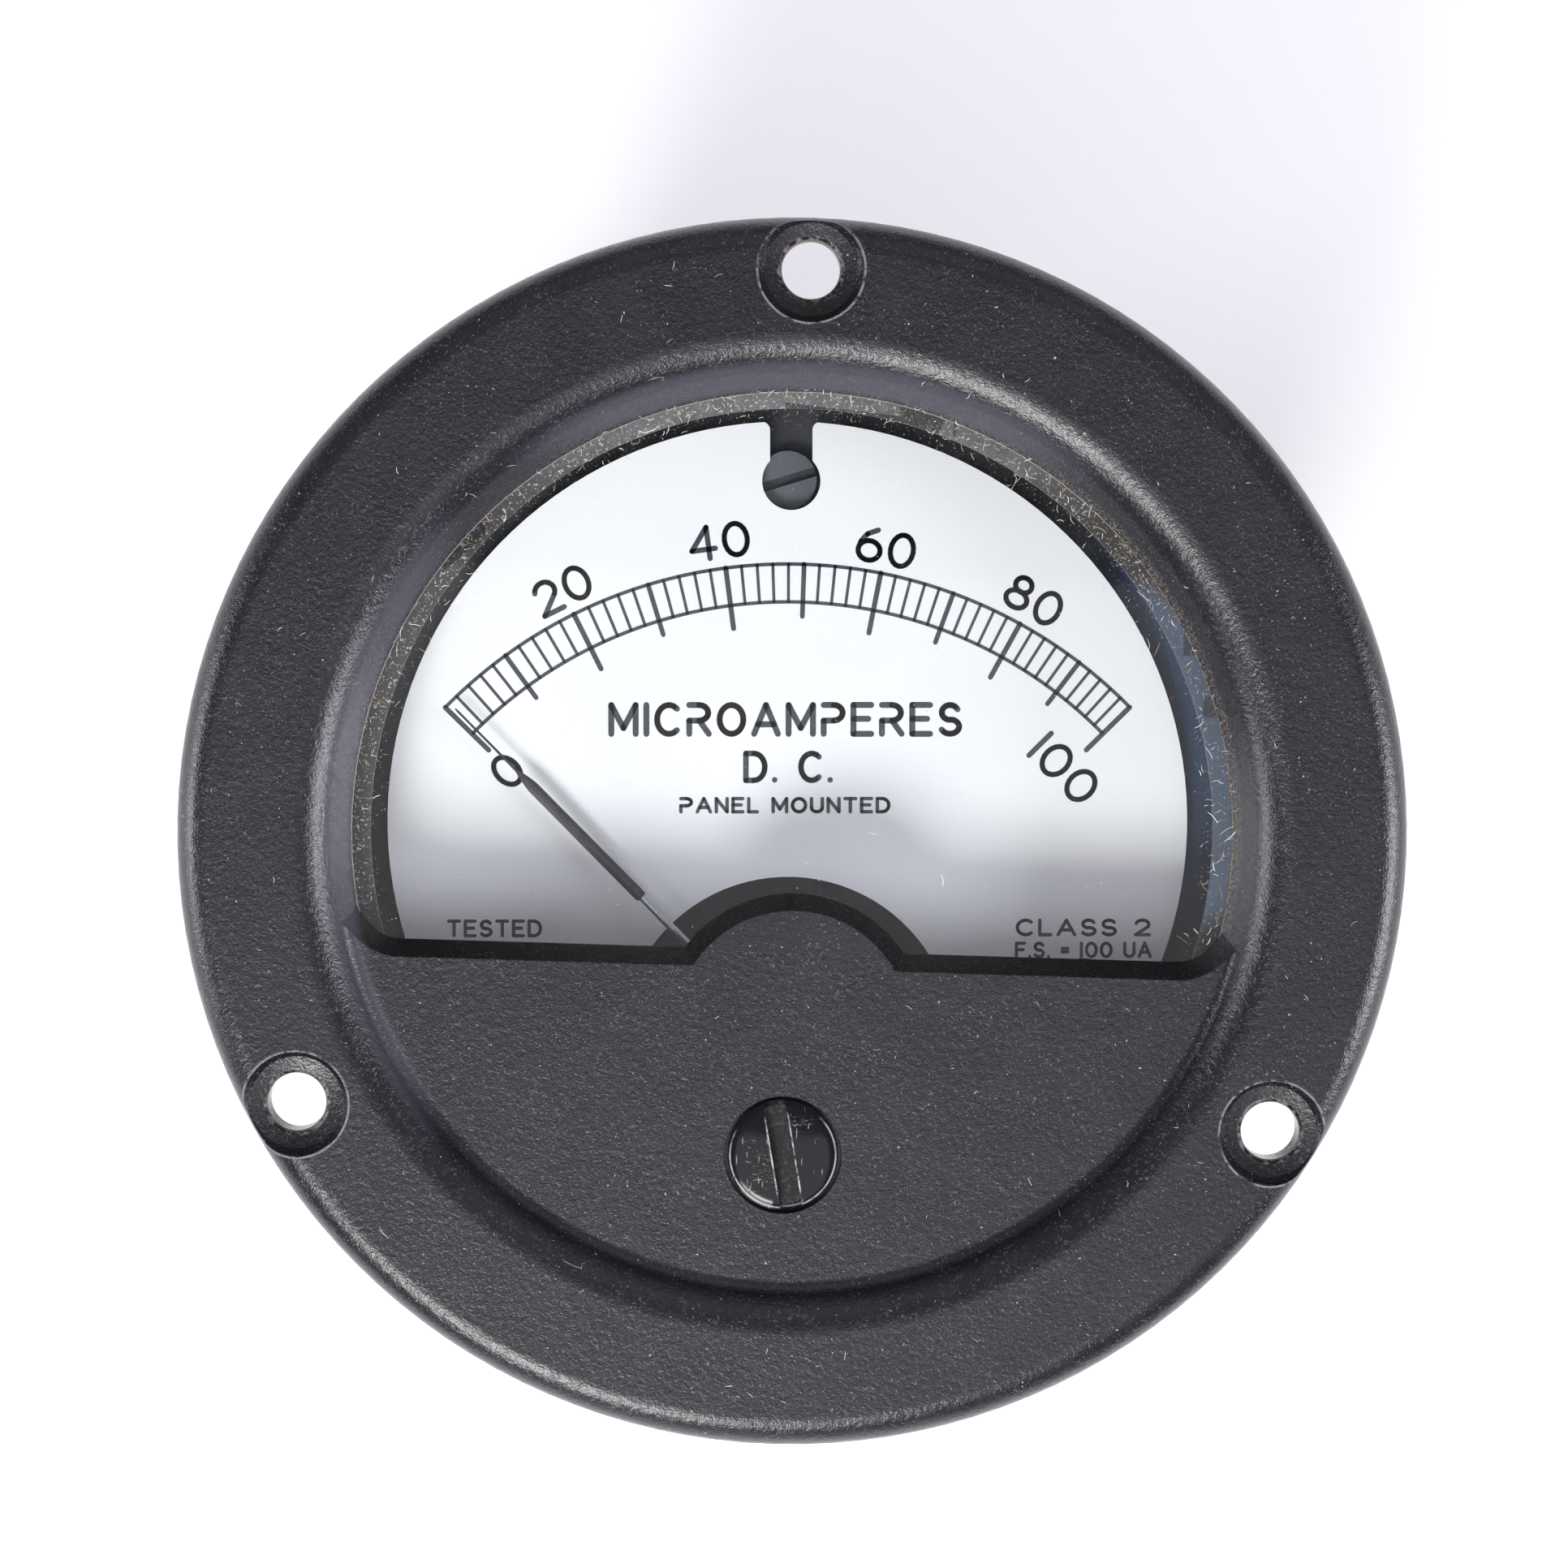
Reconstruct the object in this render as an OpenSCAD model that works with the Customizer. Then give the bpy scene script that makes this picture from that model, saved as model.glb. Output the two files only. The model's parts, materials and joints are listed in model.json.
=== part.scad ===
// Round panel microammeter with a moving-coil movement.
// Millimetres. Z = 0 is the flange's mounting face, +Z points out of the dial, +Y is up on the dial.

/* [Flange] */
// Outside diameter of the flange
flange_d = 67.7; // [67:0.1:69]
// Thickness of the flange
flange_t = 3.4; // [3.2:0.1:3.6]
// Rounding of the flange's front rim
rim_r = 1.8; // [1.2:0.1:2]
// Diameter of the circle through the mounting holes
hole_circle_d = 62; // [61.5:0.1:62.5]
// Diameter of a mounting hole
mount_hole_d = 3.2; // [3:0.1:3.6]
// Diameter of the counterbore round a mounting hole
counterbore_d = 5.8; // [5.4:0.1:6]

/* [Window] */
// Radius of the window's round edge
window_r = 24.35; // [24:0.05:24.5]
// Height of the window's straight lower edge, from the flange's axis
window_chord_y = -6.45; // [-6.6:0.05:-6.3]
// Radius of the round hump in the lower edge, at the glass
hump_r = 7.35; // [7:0.05:7.5]
// Top face of the lower panel
panel_z = 1.8; // [1.7:0.05:1.9]
// Thickness of the glass
glass_t = 1.8; // [1.6:0.1:1.9]

/* [Case] */
// Outside diameter of the case can
can_d = 55.8; // [55.6:0.1:56]
// Depth of the case behind the flange
can_depth = 36; // [36:0.5:38]
// Wall of the case can
can_wall = 1; // [0.9:0.05:1.05]
// Distance between the two terminals
terminal_spacing = 25.4; // [24.4:0.1:26.4]
// Diameter of a terminal stud
stud_d = 4.8; // [4.6:0.1:4.8]

/* [Dial and movement] */
// Radius of the dial plate
dial_r = 22.7; // [22.5:0.05:22.8]
// Top face of the dial plate
dial_z = -6.6; // [-6.7:0.05:-6.5]
// Turn of the movement in the case, anticlockwise
movement_turn = 1.8; // [0:0.1:1.8]
// Distance of the pivot below the dial's centre
pivot_drop = 12.6; // [12.5:0.05:12.7]
// Angle of the resting pointer, anticlockwise from straight up
rest_angle = 46.3; // [44:0.1:47]
// Radius of the pointer's tip from the pivot
pointer_r = 26.8; // [26.4:0.1:27]

/* [Zero adjuster] */
// Distance of the adjuster below the flange's axis
adjuster_drop = 17.7; // [17.6:0.05:17.8]
// Diameter of the adjuster's head
adjuster_head_d = 6.1; // [5.9:0.05:6.2]
// Offset of the eccentric pin from the adjuster's axis
pin_offset = 0.9; // [0.8:0.05:0.9]

/* [Hidden] */
$fn = 96;
eps = 0.01;                 // overlap that keeps cuts clean
free = 0.05;                // gap between loose-fitting pieces

// Flange and window
flange_r = flange_d / 2;
lip_z = 0.4;                // underside of the panel, which is the glass's front face
lip_edge = 0.13;            // upright edge where the funnel ends at the glass
slope_z = lip_z + lip_edge;
funnel_slope = 58;          // rise of the funnel's wall, in degrees from the flange's plane
funnel_r = window_r + (flange_t - slope_z) / tan(funnel_slope);     // at the front face's height
crest_r = 2.6;              // rounding between the front face and the funnel
crest_cut = crest_r * tan(funnel_slope / 2);
crest_steps = 16;
fillet_r = 0.8;             // between the lower panel and the funnel
spigot_r = 26;              // inside of the ring that enters the can
spigot_z = -4;
seat_z = 0.3;               // depth of the seal's seat in the flange's back
seat_gap = 0.45;            // from the can to the seat's outer wall
bevel_w = 0.9;              // plan width of the bevel along the chord and hump
hump_at = [0.3, -10.6];
corner_r = 2.6;             // rounding of the window's lower corners at the glass
bore_floor_z = 2.3;
bore_chamfer = 0.2;
hole_angles = [90, 210, 330];

// Glass stack
glass_r = 25.8;
glass_chord_y = -9.4;
gasket_t = 0.8;
gasket_in_r = 23.5;
gasket_strip = 1.2;
retainer_t = 0.8;
retainer_r = 25.95;
retainer_in_r = 24.4;
retainer_strip = 2;
glass_back_z = lip_z - glass_t;
gasket_back_z = glass_back_z - gasket_t;
retainer_back_z = gasket_back_z - retainer_t;
ear_at = [14, -12.2];
ear_r = 2.1;

// Case
can_r = can_d / 2;
can_in_r = can_r - can_wall;
spigot_out_r = can_in_r - free;
seal_t = 1;
can_top_z = seat_z - seal_t;
can_floor_t = 1.2;
can_edge_r = 2.5;
stud_r = stud_d / 2;
thread_r = stud_r - 0.245;  // pitch radius, where an engaged nut and its stud meet
stud_end_z = -can_depth - 17;
insulator_r = 6.3;
insulator_t = 2;
shoulder_r = 4.1;
inner_insulator_t = 1.4;
lug_t = 0.5;
stud_head_t = 1.4;
stud_head_r = 3.6;
washer_r = 4.9;
washer_t = 0.8;
nut_af = 9.5;
nut_t = 3;
lock_t = 1;

// Movement, in its own frame: dial centre at the origin, pivot straight below it
movement_at = [-0.2, 0.15];
dial_t = 0.5;
frame_t = 1.6;
frame_z = dial_z - dial_t - 0.9;        // top of the frame plate
frame_r = 25.5;
frame_opening_r = 6.3;
frame_screw_r = 19.4;
keyhole_at = [0.2, 19.35];
keyhole_r = 1.65;
keyhole_neck = 2.4;
cut_out_r = 9.5;
screw_head_r = 1.65;
screw_head_t = 0.7;
dial_screw_at = [12.5, -17.4];
dial_screw_r = 0.7;
dial_foot_y = -19.6;
lead_hole_at = [13.17, 8.24];
lead_r = 0.38;
magnet_top_z = frame_z - frame_t;
magnet_h = 12;
magnet_in = 8.2;
magnet_out = 12.4;
magnet_bend_y = 9.4;                    // above the pivot
magnet_foot_y = -6.2;                   // below the pivot
pole_bore_r = 6.05;
pole_half_h = 6.4;
pole_tip_x = 2.6;
pole_screw_at = [7, 3];
core_r = 4.55;
core_h = 10;
core_top_z = magnet_top_z - 1;
former_in = 4.95;
former_t = 0.25;
winding_t = 0.6;
coil_half_w = 0.75;
coil_gap = 0.4;
coil_top_z = core_top_z + coil_gap + former_t + winding_t;
coil_bottom_z = core_top_z - core_h - coil_gap - former_t - winding_t;

// Bearings
bridge_t = 0.8;
bridge_z = -3.6;                        // underside of the front bridge
bridge_half = 9;
pillar_x = 7.3;
pillar_r = 1;
jewel_screw_r = 1.2;
jewel_r = 0.6;
pivot_r = 0.2;
staff_r = 0.45;
front_screw_z = -4.25;                  // inner end of the front jewel screw
rear_bridge_z = coil_bottom_z - 3.9;    // top of the rear bridge
rear_screw_z = rear_bridge_z + 0.9;
stop_angle = 3.4;
stop_y = 7.6;

// Pointer and balance
pointer_z = -5.7;
pointer_t = 0.22;
lance_y = 11.8;
lance_w = 0.67;
taper_y = 20.9;
needle_y = 21.9;
needle_w = 0.14;
base_w = 0.46;
cross_z = -5.95;
cross_r = 0.18;
cross_reach = 4.8;
weight_r = 0.42;

// Springs
spring_h = 0.3;
spring_w = 0.07;
spring_in_r = 0.48;
spring_out_r = 2.9;
spring_turns = 4.5;
spring_steps = 28;                      // steps a turn
front_spring_z = -5.05;
rear_spring_z = coil_bottom_z - 1.6;

// Zero adjuster
adjuster_at = [0, -adjuster_drop];
head_r = adjuster_head_d / 2;
head_gap = 0.22;
recess_z = 0.7;
head_z = recess_z + free;
head_rim_z = 1.75;
head_top_z = 2.05;
boss_r = 4.2;
boss_z = -1.4;
stem_r = 1.5;
stem_end_z = -3;
groove_r = 1.1;
clip_t = 0.4;
clip_r = 2.5;
o_ring_r = 0.27;
o_ring_z = -0.4;
slot_w = 1.2;
slot_turn = 11;
pin_r = 0.35;
pin_end_z = -4.85;
arm_z = -4.2;
arm_t = 0.4;

// Placed pivot and its line to the adjuster
pivot_at = movement_at + pivot_drop * [sin(movement_turn), -cos(movement_turn)];
to_adjuster = adjuster_at - pivot_at;
arm_length = norm(to_adjuster);
arm_turn = atan2(to_adjuster.x, -to_adjuster.y);

function on_circle(r, a) = [r * cos(a), r * sin(a)];
function spiral(r0, r1, turns, w) =
    let (n = turns * spring_steps)
    concat(
        [for (i = [0:n]) on_circle(r0 + (r1 - r0) * i / n + w / 2, 360 * i / spring_steps)],
        [for (i = [n:-1:0]) on_circle(r0 + (r1 - r0) * i / n - w / 2, 360 * i / spring_steps)]
    );

module up(z) { translate([0, 0, z]) children(); }
module rod(r, z0, z1) { up(min(z0, z1)) cylinder(r = r, h = abs(z1 - z0)); }
module tube(ro, ri, z0, z1) {
    difference() {
        rod(ro, z0, z1);
        rod(ri, min(z0, z1) - 1, max(z0, z1) + 1);
    }
}
module hex_nut(af, z0, z1, bore_r) {
    difference() {
        up(z0) cylinder(r = af / 2 / cos(30), h = z1 - z0, $fn = 6);
        rod(bore_r, z0 - 1, z1 + 1);
    }
}
module block(x0, x1, y0, y1, z0, z1) { translate([x0, y0, z0]) cube([x1 - x0, y1 - y0, z1 - z0]); }
module in_movement() { translate(movement_at) rotate(movement_turn) children(); }
module at_pivot() { translate(pivot_at) children(); }
module on_pivot_axes() { at_pivot() rotate(movement_turn) children(); }
module on_coil() { at_pivot() rotate(rest_angle) children(); }
module at_adjuster() { translate(adjuster_at) children(); }
module both_sides(x, y) { for (s = [-1, 1]) translate([s * x, y]) children(); }
module at_terminals() { both_sides(terminal_spacing / 2, 0) children(); }
module cheese_screw(head_r, head_t, z, shank_r, length, slot_a = 0) {
    slot_depth = head_t * 0.5;
    difference() {
        union() {
            rod(head_r, z, z + head_t);
            rod(shank_r, z - length, z + eps);
        }
        rotate(slot_a) block(-head_r - 1, head_r + 1, -0.16 * head_r, 0.16 * head_r,
            z + head_t - slot_depth, z + head_t + 1);
    }
}

// ---- Flange ----
module flange_ring() {
    rim_c = [flange_r - rim_r, flange_t - rim_r];
    crest_c = [funnel_r + crest_cut, flange_t - crest_r];
    rotate_extrude() polygon(concat(
        [[flange_r, 0]],
        [for (a = [0:5:90]) rim_c + on_circle(rim_r, a)],
        [for (i = [0:crest_steps]) crest_c + on_circle(crest_r, 90 + funnel_slope * i / crest_steps)],
        [[window_r, slope_z], [window_r, lip_z], [spigot_r, lip_z], [spigot_r, spigot_z],
         [spigot_out_r, spigot_z], [spigot_out_r, seat_z], [can_r + seat_gap, seat_z],
         [can_r + seat_gap, 0]]
    ));
}
module flared(r, out) {
    // round cutter: straight sides at the glass, then opening (out > 0) or closing at the bevel's slope
    over = 1;
    top = panel_z + over;
    rotate_extrude() polygon([
        [0, lip_z - over], [r, lip_z - over], [r, slope_z],
        [r + out * bevel_w / (panel_z - slope_z) * (top - slope_z), top], [0, top]
    ]);
}
module corner_fill() {
    // keeps the panel outside the rounded lower corner of the window, on the +X side
    cross = 0.02;           // lets the round cross the straight edges cleanly
    reach = 8;
    low = [sqrt(pow(window_r - corner_r, 2) - pow(window_chord_y + corner_r, 2)), window_chord_y + corner_r];
    side = reach * low / norm(low);
    difference() {
        up(lip_z - 2) linear_extrude(panel_z - lip_z + 4)
            polygon([low, low + [0, -reach], low + [reach, -reach], low + side]);
        translate(low) flared(corner_r + cross, 1);
    }
}
module panel_fillet() {
    // rounds the corner between the panel and the funnel; it enters the funnel's wall a little early
    early = 6;
    foot = window_r + (panel_z - slope_z) / tan(funnel_slope) - fillet_r * tan(funnel_slope / 2);
    c = [foot, panel_z + fillet_r];
    top = c + on_circle(fillet_r, funnel_slope - 90 - early);
    rotate_extrude() polygon(concat(
        [[foot, panel_z - 0.3]],
        [for (i = [0:8]) c + on_circle(fillet_r, -90 + (funnel_slope - early) * i / 8)],
        [[top.x + 0.4, top.y], [top.x + 0.4, panel_z - 0.3]]
    ));
}
module lower_panel() {
    bevel_slope = bevel_w / (panel_z - slope_z);
    over = 0.5;
    difference() {
        union() {
            rod(spigot_r - 0.1, lip_z, panel_z);
            panel_fillet();
        }
        difference() {
            translate([-40, 0, 0]) rotate([90, 0, 90]) linear_extrude(80) polygon([
                [window_chord_y, lip_z - over], [window_chord_y, slope_z],
                [window_chord_y - bevel_slope * (panel_z + over - slope_z), panel_z + over],
                [40, panel_z + over], [40, lip_z - over]
            ]);
            translate(hump_at) flared(hump_r, -1);
            corner_fill();
            mirror([1, 0, 0]) corner_fill();
        }
    }
}
module counterbore() {
    r = counterbore_d / 2;
    hole_r = mount_hole_d / 2;
    floor_dip = 0.12;
    rotate_extrude() polygon([
        [0, -1], [hole_r, -1], [hole_r, bore_floor_z - floor_dip - bore_chamfer],
        [hole_r + bore_chamfer, bore_floor_z - floor_dip], [r - 0.35, bore_floor_z],
        [r - 0.08, bore_floor_z + 0.3], [r, bore_floor_z + 0.7], [r, flange_t + 1], [0, flange_t + 1]
    ]);
}
module front_flange() {
    color([0.09, 0.09, 0.1]) difference() {
        union() {
            flange_ring();
            lower_panel();
            at_adjuster() rod(boss_r, boss_z, lip_z + 0.2);
            both_sides(ear_at.x, ear_at.y) rod(ear_r, gasket_back_z, lip_z + 0.2);
        }
        for (a = hole_angles) translate(on_circle(hole_circle_d / 2, a)) counterbore();
        at_adjuster() {
            rod(head_r + head_gap, recess_z, panel_z + 1);
            rod(stem_r + free, boss_z - 1, recess_z + eps);
        }
        both_sides(ear_at.x, ear_at.y) rod(0.8, gasket_back_z - 1, lip_z);
    }
}

// ---- Glass and its frame ----
module d_plate(r, chord_y, z0, z1) {
    intersection() {
        rod(r, z0, z1);
        block(-30, 30, chord_y, 30, z0 - 1, z1 + 1);
    }
}
module window_glass() {
    color([0.9, 0.95, 1, 0.2]) d_plate(glass_r, glass_chord_y, glass_back_z, lip_z);
}
module window_gasket() {
    color([0.2, 0.2, 0.2]) difference() {
        d_plate(glass_r, glass_chord_y, gasket_back_z, glass_back_z);
        d_plate(gasket_in_r, glass_chord_y + gasket_strip, gasket_back_z - 1, glass_back_z + 1);
    }
}
module glass_retainer() {
    color([0.35, 0.35, 0.35]) difference() {
        union() {
            d_plate(retainer_r, glass_chord_y - 0.4, retainer_back_z, gasket_back_z);
            both_sides(ear_at.x, ear_at.y) {
                rod(ear_r, retainer_back_z, gasket_back_z);
                block(-ear_r, ear_r, 0, 3, retainer_back_z, gasket_back_z);
            }
        }
        d_plate(retainer_in_r, glass_chord_y - 0.4 + retainer_strip, retainer_back_z - 1, gasket_back_z + 1);
        both_sides(ear_at.x, ear_at.y) rod(0.9, retainer_back_z - 1, gasket_back_z + 1);
    }
}
module retainer_screws() {
    color([0.75, 0.75, 0.72]) both_sides(ear_at.x, ear_at.y)
        up(retainer_back_z) mirror([0, 0, 1]) cheese_screw(1.5, 0.6, 0, 0.78, 2.8, 20);
}

// ---- Case ----
module case_seal() {
    color([0.1, 0.1, 0.1]) tube(can_r + 0.3, can_in_r, can_top_z, seat_z);
}
module case_can() {
    c = [can_r - can_edge_r, -can_depth + can_edge_r];
    in_edge = can_edge_r - can_wall;
    color([0.08, 0.08, 0.08]) difference() {
        rotate_extrude() polygon(concat(
            [[0, -can_depth + can_floor_t], [can_in_r - in_edge, -can_depth + can_floor_t]],
            [for (a = [-75:15:0]) [can_in_r - in_edge, -can_depth + can_floor_t + in_edge]
                + on_circle(in_edge, a)],
            [[can_in_r, can_top_z], [can_r, can_top_z]],
            [for (a = [0:-10:-90]) c + on_circle(can_edge_r, a)],
            [[0, -can_depth]]
        ));
        at_terminals() rod(shoulder_r + free, -can_depth - 1, -can_depth + can_floor_t + 1);
    }
}
module outer_insulators() {
    color([0.35, 0.18, 0.09]) at_terminals() difference() {
        union() {
            rod(insulator_r, -can_depth - insulator_t, -can_depth);
            rod(shoulder_r, -can_depth - eps, -can_depth + can_floor_t);
        }
        rod(stud_r + free, -can_depth - insulator_t - 1, -can_depth + can_floor_t + 1);
    }
}
inner_z = -can_depth + can_floor_t;
lug_z = inner_z + inner_insulator_t;
head_base_z = lug_z + lug_t;
module inner_insulators() {
    color([0.35, 0.18, 0.09]) at_terminals() tube(insulator_r, stud_r + free, inner_z, lug_z);
}
module terminal_studs() {
    color([0.78, 0.72, 0.55]) at_terminals() difference() {
        union() {
            rod(stud_r, stud_end_z + 0.5, head_base_z + eps);
            up(stud_end_z) cylinder(r1 = stud_r - 0.5, r2 = stud_r, h = 0.5);
            rod(stud_head_r, head_base_z, head_base_z + stud_head_t);
        }
        for (z = [outer_washer_z, terminal_nut_z - nut_t]) tube(stud_r + 1, thread_r, z, z + nut_t);
    }
}
module solder_lugs() {
    color([0.75, 0.75, 0.72]) at_terminals() difference() {
        union() {
            rod(4.4, lug_z, head_base_z);
            block(-1.1, 1.1, 4, 8.6, lug_z, head_base_z);
            translate([0, 8.6]) rod(1.6, lug_z, head_base_z);
        }
        rod(stud_r + free, lug_z - 1, head_base_z + 1);
        translate([0, 8.8]) rod(0.7, lug_z - 1, head_base_z + 1);
    }
}
clamp_top_z = -can_depth - insulator_t - washer_t;
outer_washer_z = clamp_top_z - nut_t;
lock_z = outer_washer_z - washer_t;
terminal_nut_z = lock_z - lock_t;
module flat_washers() {
    color([0.8, 0.78, 0.7]) at_terminals() {
        tube(washer_r, stud_r + 0.1, clamp_top_z, clamp_top_z + washer_t);
        tube(washer_r, stud_r + 0.1, lock_z, outer_washer_z);
    }
}
module clamp_nuts() {
    color([0.8, 0.74, 0.55]) at_terminals() rotate(12)
        hex_nut(nut_af, outer_washer_z, clamp_top_z, thread_r);
}
module lock_washers() {
    color([0.7, 0.7, 0.68]) at_terminals() difference() {
        tube(4.1, stud_r + 0.1, terminal_nut_z, lock_z);
        rotate(30) block(0, 6, -0.3, 0.3, terminal_nut_z - 1, lock_z + 1);
    }
}
module terminal_nuts() {
    color([0.8, 0.74, 0.55]) at_terminals() rotate(25)
        hex_nut(nut_af, terminal_nut_z - nut_t, terminal_nut_z, thread_r);
}

// ---- Movement frame and dial ----
module at_frame_screws() { for (a = hole_angles) translate(on_circle(frame_screw_r, a)) children(); }
module frame_lugs() {
    tab_h = 6;
    color([0.3, 0.3, 0.3]) for (a = hole_angles) rotate(a + movement_turn) difference() {
        union() {
            block(17.6, 26.2, -2.5, 2.5, magnet_top_z - 1.4, magnet_top_z);
            intersection() {
                tube(can_in_r, can_in_r - 1.2, magnet_top_z - tab_h, magnet_top_z);
                block(20, 30, -2.5, 2.5, magnet_top_z - tab_h - 1, magnet_top_z + 1);
            }
        }
        rotate(-a - movement_turn) in_movement() rotate(a) translate([frame_screw_r, 0])
            rod(0.82, magnet_top_z - 3, magnet_top_z + 1);
    }
}
module movement_frame() {
    color([0.06, 0.06, 0.06]) in_movement() difference() {
        rod(frame_r, magnet_top_z, frame_z);
        translate([0, -pivot_drop]) {
            rod(frame_opening_r, magnet_top_z - 1, frame_z + 1);
            both_sides(pillar_x, 0) rod(0.72, magnet_top_z - 1, frame_z + 1);
            for (s = [-1, 1]) both_sides(pole_screw_at.x, s * pole_screw_at.y)
                rod(0.75, magnet_top_z - 1, frame_z + 1);
        }
        at_frame_screws() rod(0.95, magnet_top_z - 1, frame_z + 1);
        both_sides(dial_screw_at.x, dial_screw_at.y) rod(dial_screw_r + 0.02, magnet_top_z - 1, frame_z + 1);
        translate(lead_hole_at) rod(0.9, magnet_top_z - 1, frame_z + 1);
    }
}
module frame_screws() {
    color([0.2, 0.2, 0.22]) in_movement() at_frame_screws()
        cheese_screw(screw_head_r, screw_head_t, frame_z, 0.8, 3.4, 17);
}
module dial_plate() {
    neck_r = 0.45;
    neck_x = keyhole_neck / 2;
    color([0.93, 0.94, 0.97]) in_movement() difference() {
        d_plate(dial_r, dial_foot_y, dial_z - dial_t, dial_z);
        translate([0, -pivot_drop]) rod(cut_out_r, dial_z - dial_t - 1, dial_z + 1);
        translate(keyhole_at) {
            rod(keyhole_r, dial_z - dial_t - 1, dial_z + 1);
            block(-neck_x, neck_x, 0, 6, dial_z - dial_t - 1, dial_z + 1);
        }
        difference() {
            translate([keyhole_at.x, dial_r - neck_r]) block(-neck_x - neck_r, neck_x + neck_r, 0, 2,
                dial_z - dial_t - 1, dial_z + 1);
            for (s = [-1, 1]) translate([keyhole_at.x + s * (neck_x + neck_r), dial_r - neck_r - 0.03])
                rod(neck_r, dial_z - dial_t - 2, dial_z + 2);
        }
        for (a = [210, 330]) translate(on_circle(frame_screw_r, a))
            rod(screw_head_r + 0.3, dial_z - dial_t - 1, dial_z + 1);
        both_sides(dial_screw_at.x, dial_screw_at.y) rod(dial_screw_r + 0.1, dial_z - dial_t - 1, dial_z + 1);
    }
}
module dial_pillars() {
    color([0.78, 0.68, 0.42]) in_movement() both_sides(dial_screw_at.x, dial_screw_at.y)
        tube(1.7, dial_screw_r + 0.05, frame_z, dial_z - dial_t);
}
module dial_screws() {
    color([0.75, 0.75, 0.72]) in_movement() both_sides(dial_screw_at.x, dial_screw_at.y)
        cheese_screw(1.4, 0.6, dial_z, dial_screw_r, 2.8, 40);
}

// ---- Magnet system ----
module magnet() {
    z1 = magnet_top_z;
    z0 = z1 - magnet_h;
    color([0.33, 0.32, 0.31]) on_pivot_axes() {
        both_sides((magnet_in + magnet_out) / 2, 0)
            block(-(magnet_out - magnet_in) / 2, (magnet_out - magnet_in) / 2, magnet_foot_y, magnet_bend_y,
                z0, z1);
        translate([0, magnet_bend_y - eps]) intersection() {
            tube(magnet_out, magnet_in, z0, z1);
            block(-20, 20, 0, 20, z0 - 1, z1 + 1);
        }
    }
}
module pole_piece(side) {
    z1 = magnet_top_z;
    z0 = z1 - magnet_h;
    color([0.5, 0.5, 0.5]) on_pivot_axes() mirror([side < 0 ? 1 : 0, 0, 0]) difference() {
        block(pole_tip_x, magnet_in, -pole_half_h, pole_half_h, z0, z1);
        rod(pole_bore_r, z0 - 1, z1 + 1);
        for (s = [-1, 1]) translate([pole_screw_at.x, s * pole_screw_at.y]) rod(0.72, z1 - 4, z1 + 1);
        translate([pillar_x, 0]) rod(0.75, z1 - 1.6, z1 + 1);
    }
}
module pole_piece_left() { pole_piece(-1); }
module pole_piece_right() { pole_piece(1); }
module pole_screws() {
    color([0.3, 0.3, 0.32]) on_pivot_axes() for (s = [-1, 1]) both_sides(pole_screw_at.x, s * pole_screw_at.y)
        cheese_screw(1.15, 0.6, frame_z, 0.7, 4.2, 55 + 40 * s);
}
module iron_core() {
    color([0.55, 0.55, 0.56]) at_pivot() difference() {
        rod(core_r, core_top_z - core_h, core_top_z);
        rod(1.2, core_top_z - core_h - 1, core_top_z - core_h + 1.5);
    }
}
module core_bracket() {
    mid_z = core_top_z - core_h / 2;
    color([0.8, 0.66, 0.32]) on_pivot_axes() difference() {
        union() {
            block(-1.1, 1.1, core_r - 0.3, 7.2, mid_z - 1.6, mid_z + 1.6);
            block(-magnet_in, magnet_in, 7.1, 9.1, mid_z - 2.6, mid_z + 2.6);
        }
        rod(core_r, mid_z - 5, mid_z + 5);
        for (x = [-5, 5]) translate([x, 6, mid_z]) rotate([-90, 0, 0]) cylinder(r = 0.7, h = 5);
    }
}

// ---- Bearings ----
module bridge(z0, z1) {
    difference() {
        union() {
            block(-bridge_half + 1.4, bridge_half - 1.4, -1.5, 1.5, z0, z1);
            rod(2.5, z0, z1);
            both_sides(pillar_x, 0) rod(1.5, z0, z1);
        }
        rod(jewel_screw_r + 0.02, z0 - 1, z1 + 1);
        both_sides(pillar_x, 0) rod(0.75, z0 - 1, z1 + 1);
    }
}
module front_bridge() {
    color([0.8, 0.66, 0.32]) on_pivot_axes() bridge(bridge_z, bridge_z + bridge_t);
}
module rear_bridge() {
    arm_r = 1.2;
    color([0.8, 0.66, 0.32]) on_pivot_axes() {
        bridge(rear_bridge_z - bridge_t, rear_bridge_z);
        both_sides(pillar_x, 0) tube(arm_r, 0.75, rear_bridge_z, magnet_top_z - magnet_h);
    }
}
module bridge_pillars() {
    color([0.8, 0.66, 0.32]) on_pivot_axes() both_sides(pillar_x, 0) tube(pillar_r, 0.75, frame_z, bridge_z);
}
module front_bridge_screws() {
    color([0.75, 0.75, 0.72]) on_pivot_axes() both_sides(pillar_x, 0)
        cheese_screw(1.3, 0.6, bridge_z + bridge_t, 0.68, 7.2, 65);
}
module rear_bridge_screws() {
    pole_back_z = magnet_top_z - magnet_h;
    color([0.75, 0.75, 0.72]) on_pivot_axes() both_sides(pillar_x, 0)
        up(rear_bridge_z - bridge_t) mirror([0, 0, 1])
            cheese_screw(1.3, 0.6, 0, 0.68, pole_back_z - rear_bridge_z + bridge_t, 20);
}
module jewel_screw(length) {
    // inner end at Z = 0, slotted end at Z = length
    difference() {
        rod(jewel_screw_r, 0, length);
        rod(jewel_r + 0.02, -1, 0.7);
        block(-2, 2, -0.2, 0.2, length - 0.5, length + 1);
    }
}
module front_jewel_screw() {
    color([0.8, 0.66, 0.32]) on_pivot_axes() up(front_screw_z) rotate(35) jewel_screw(2.3);
}
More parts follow.
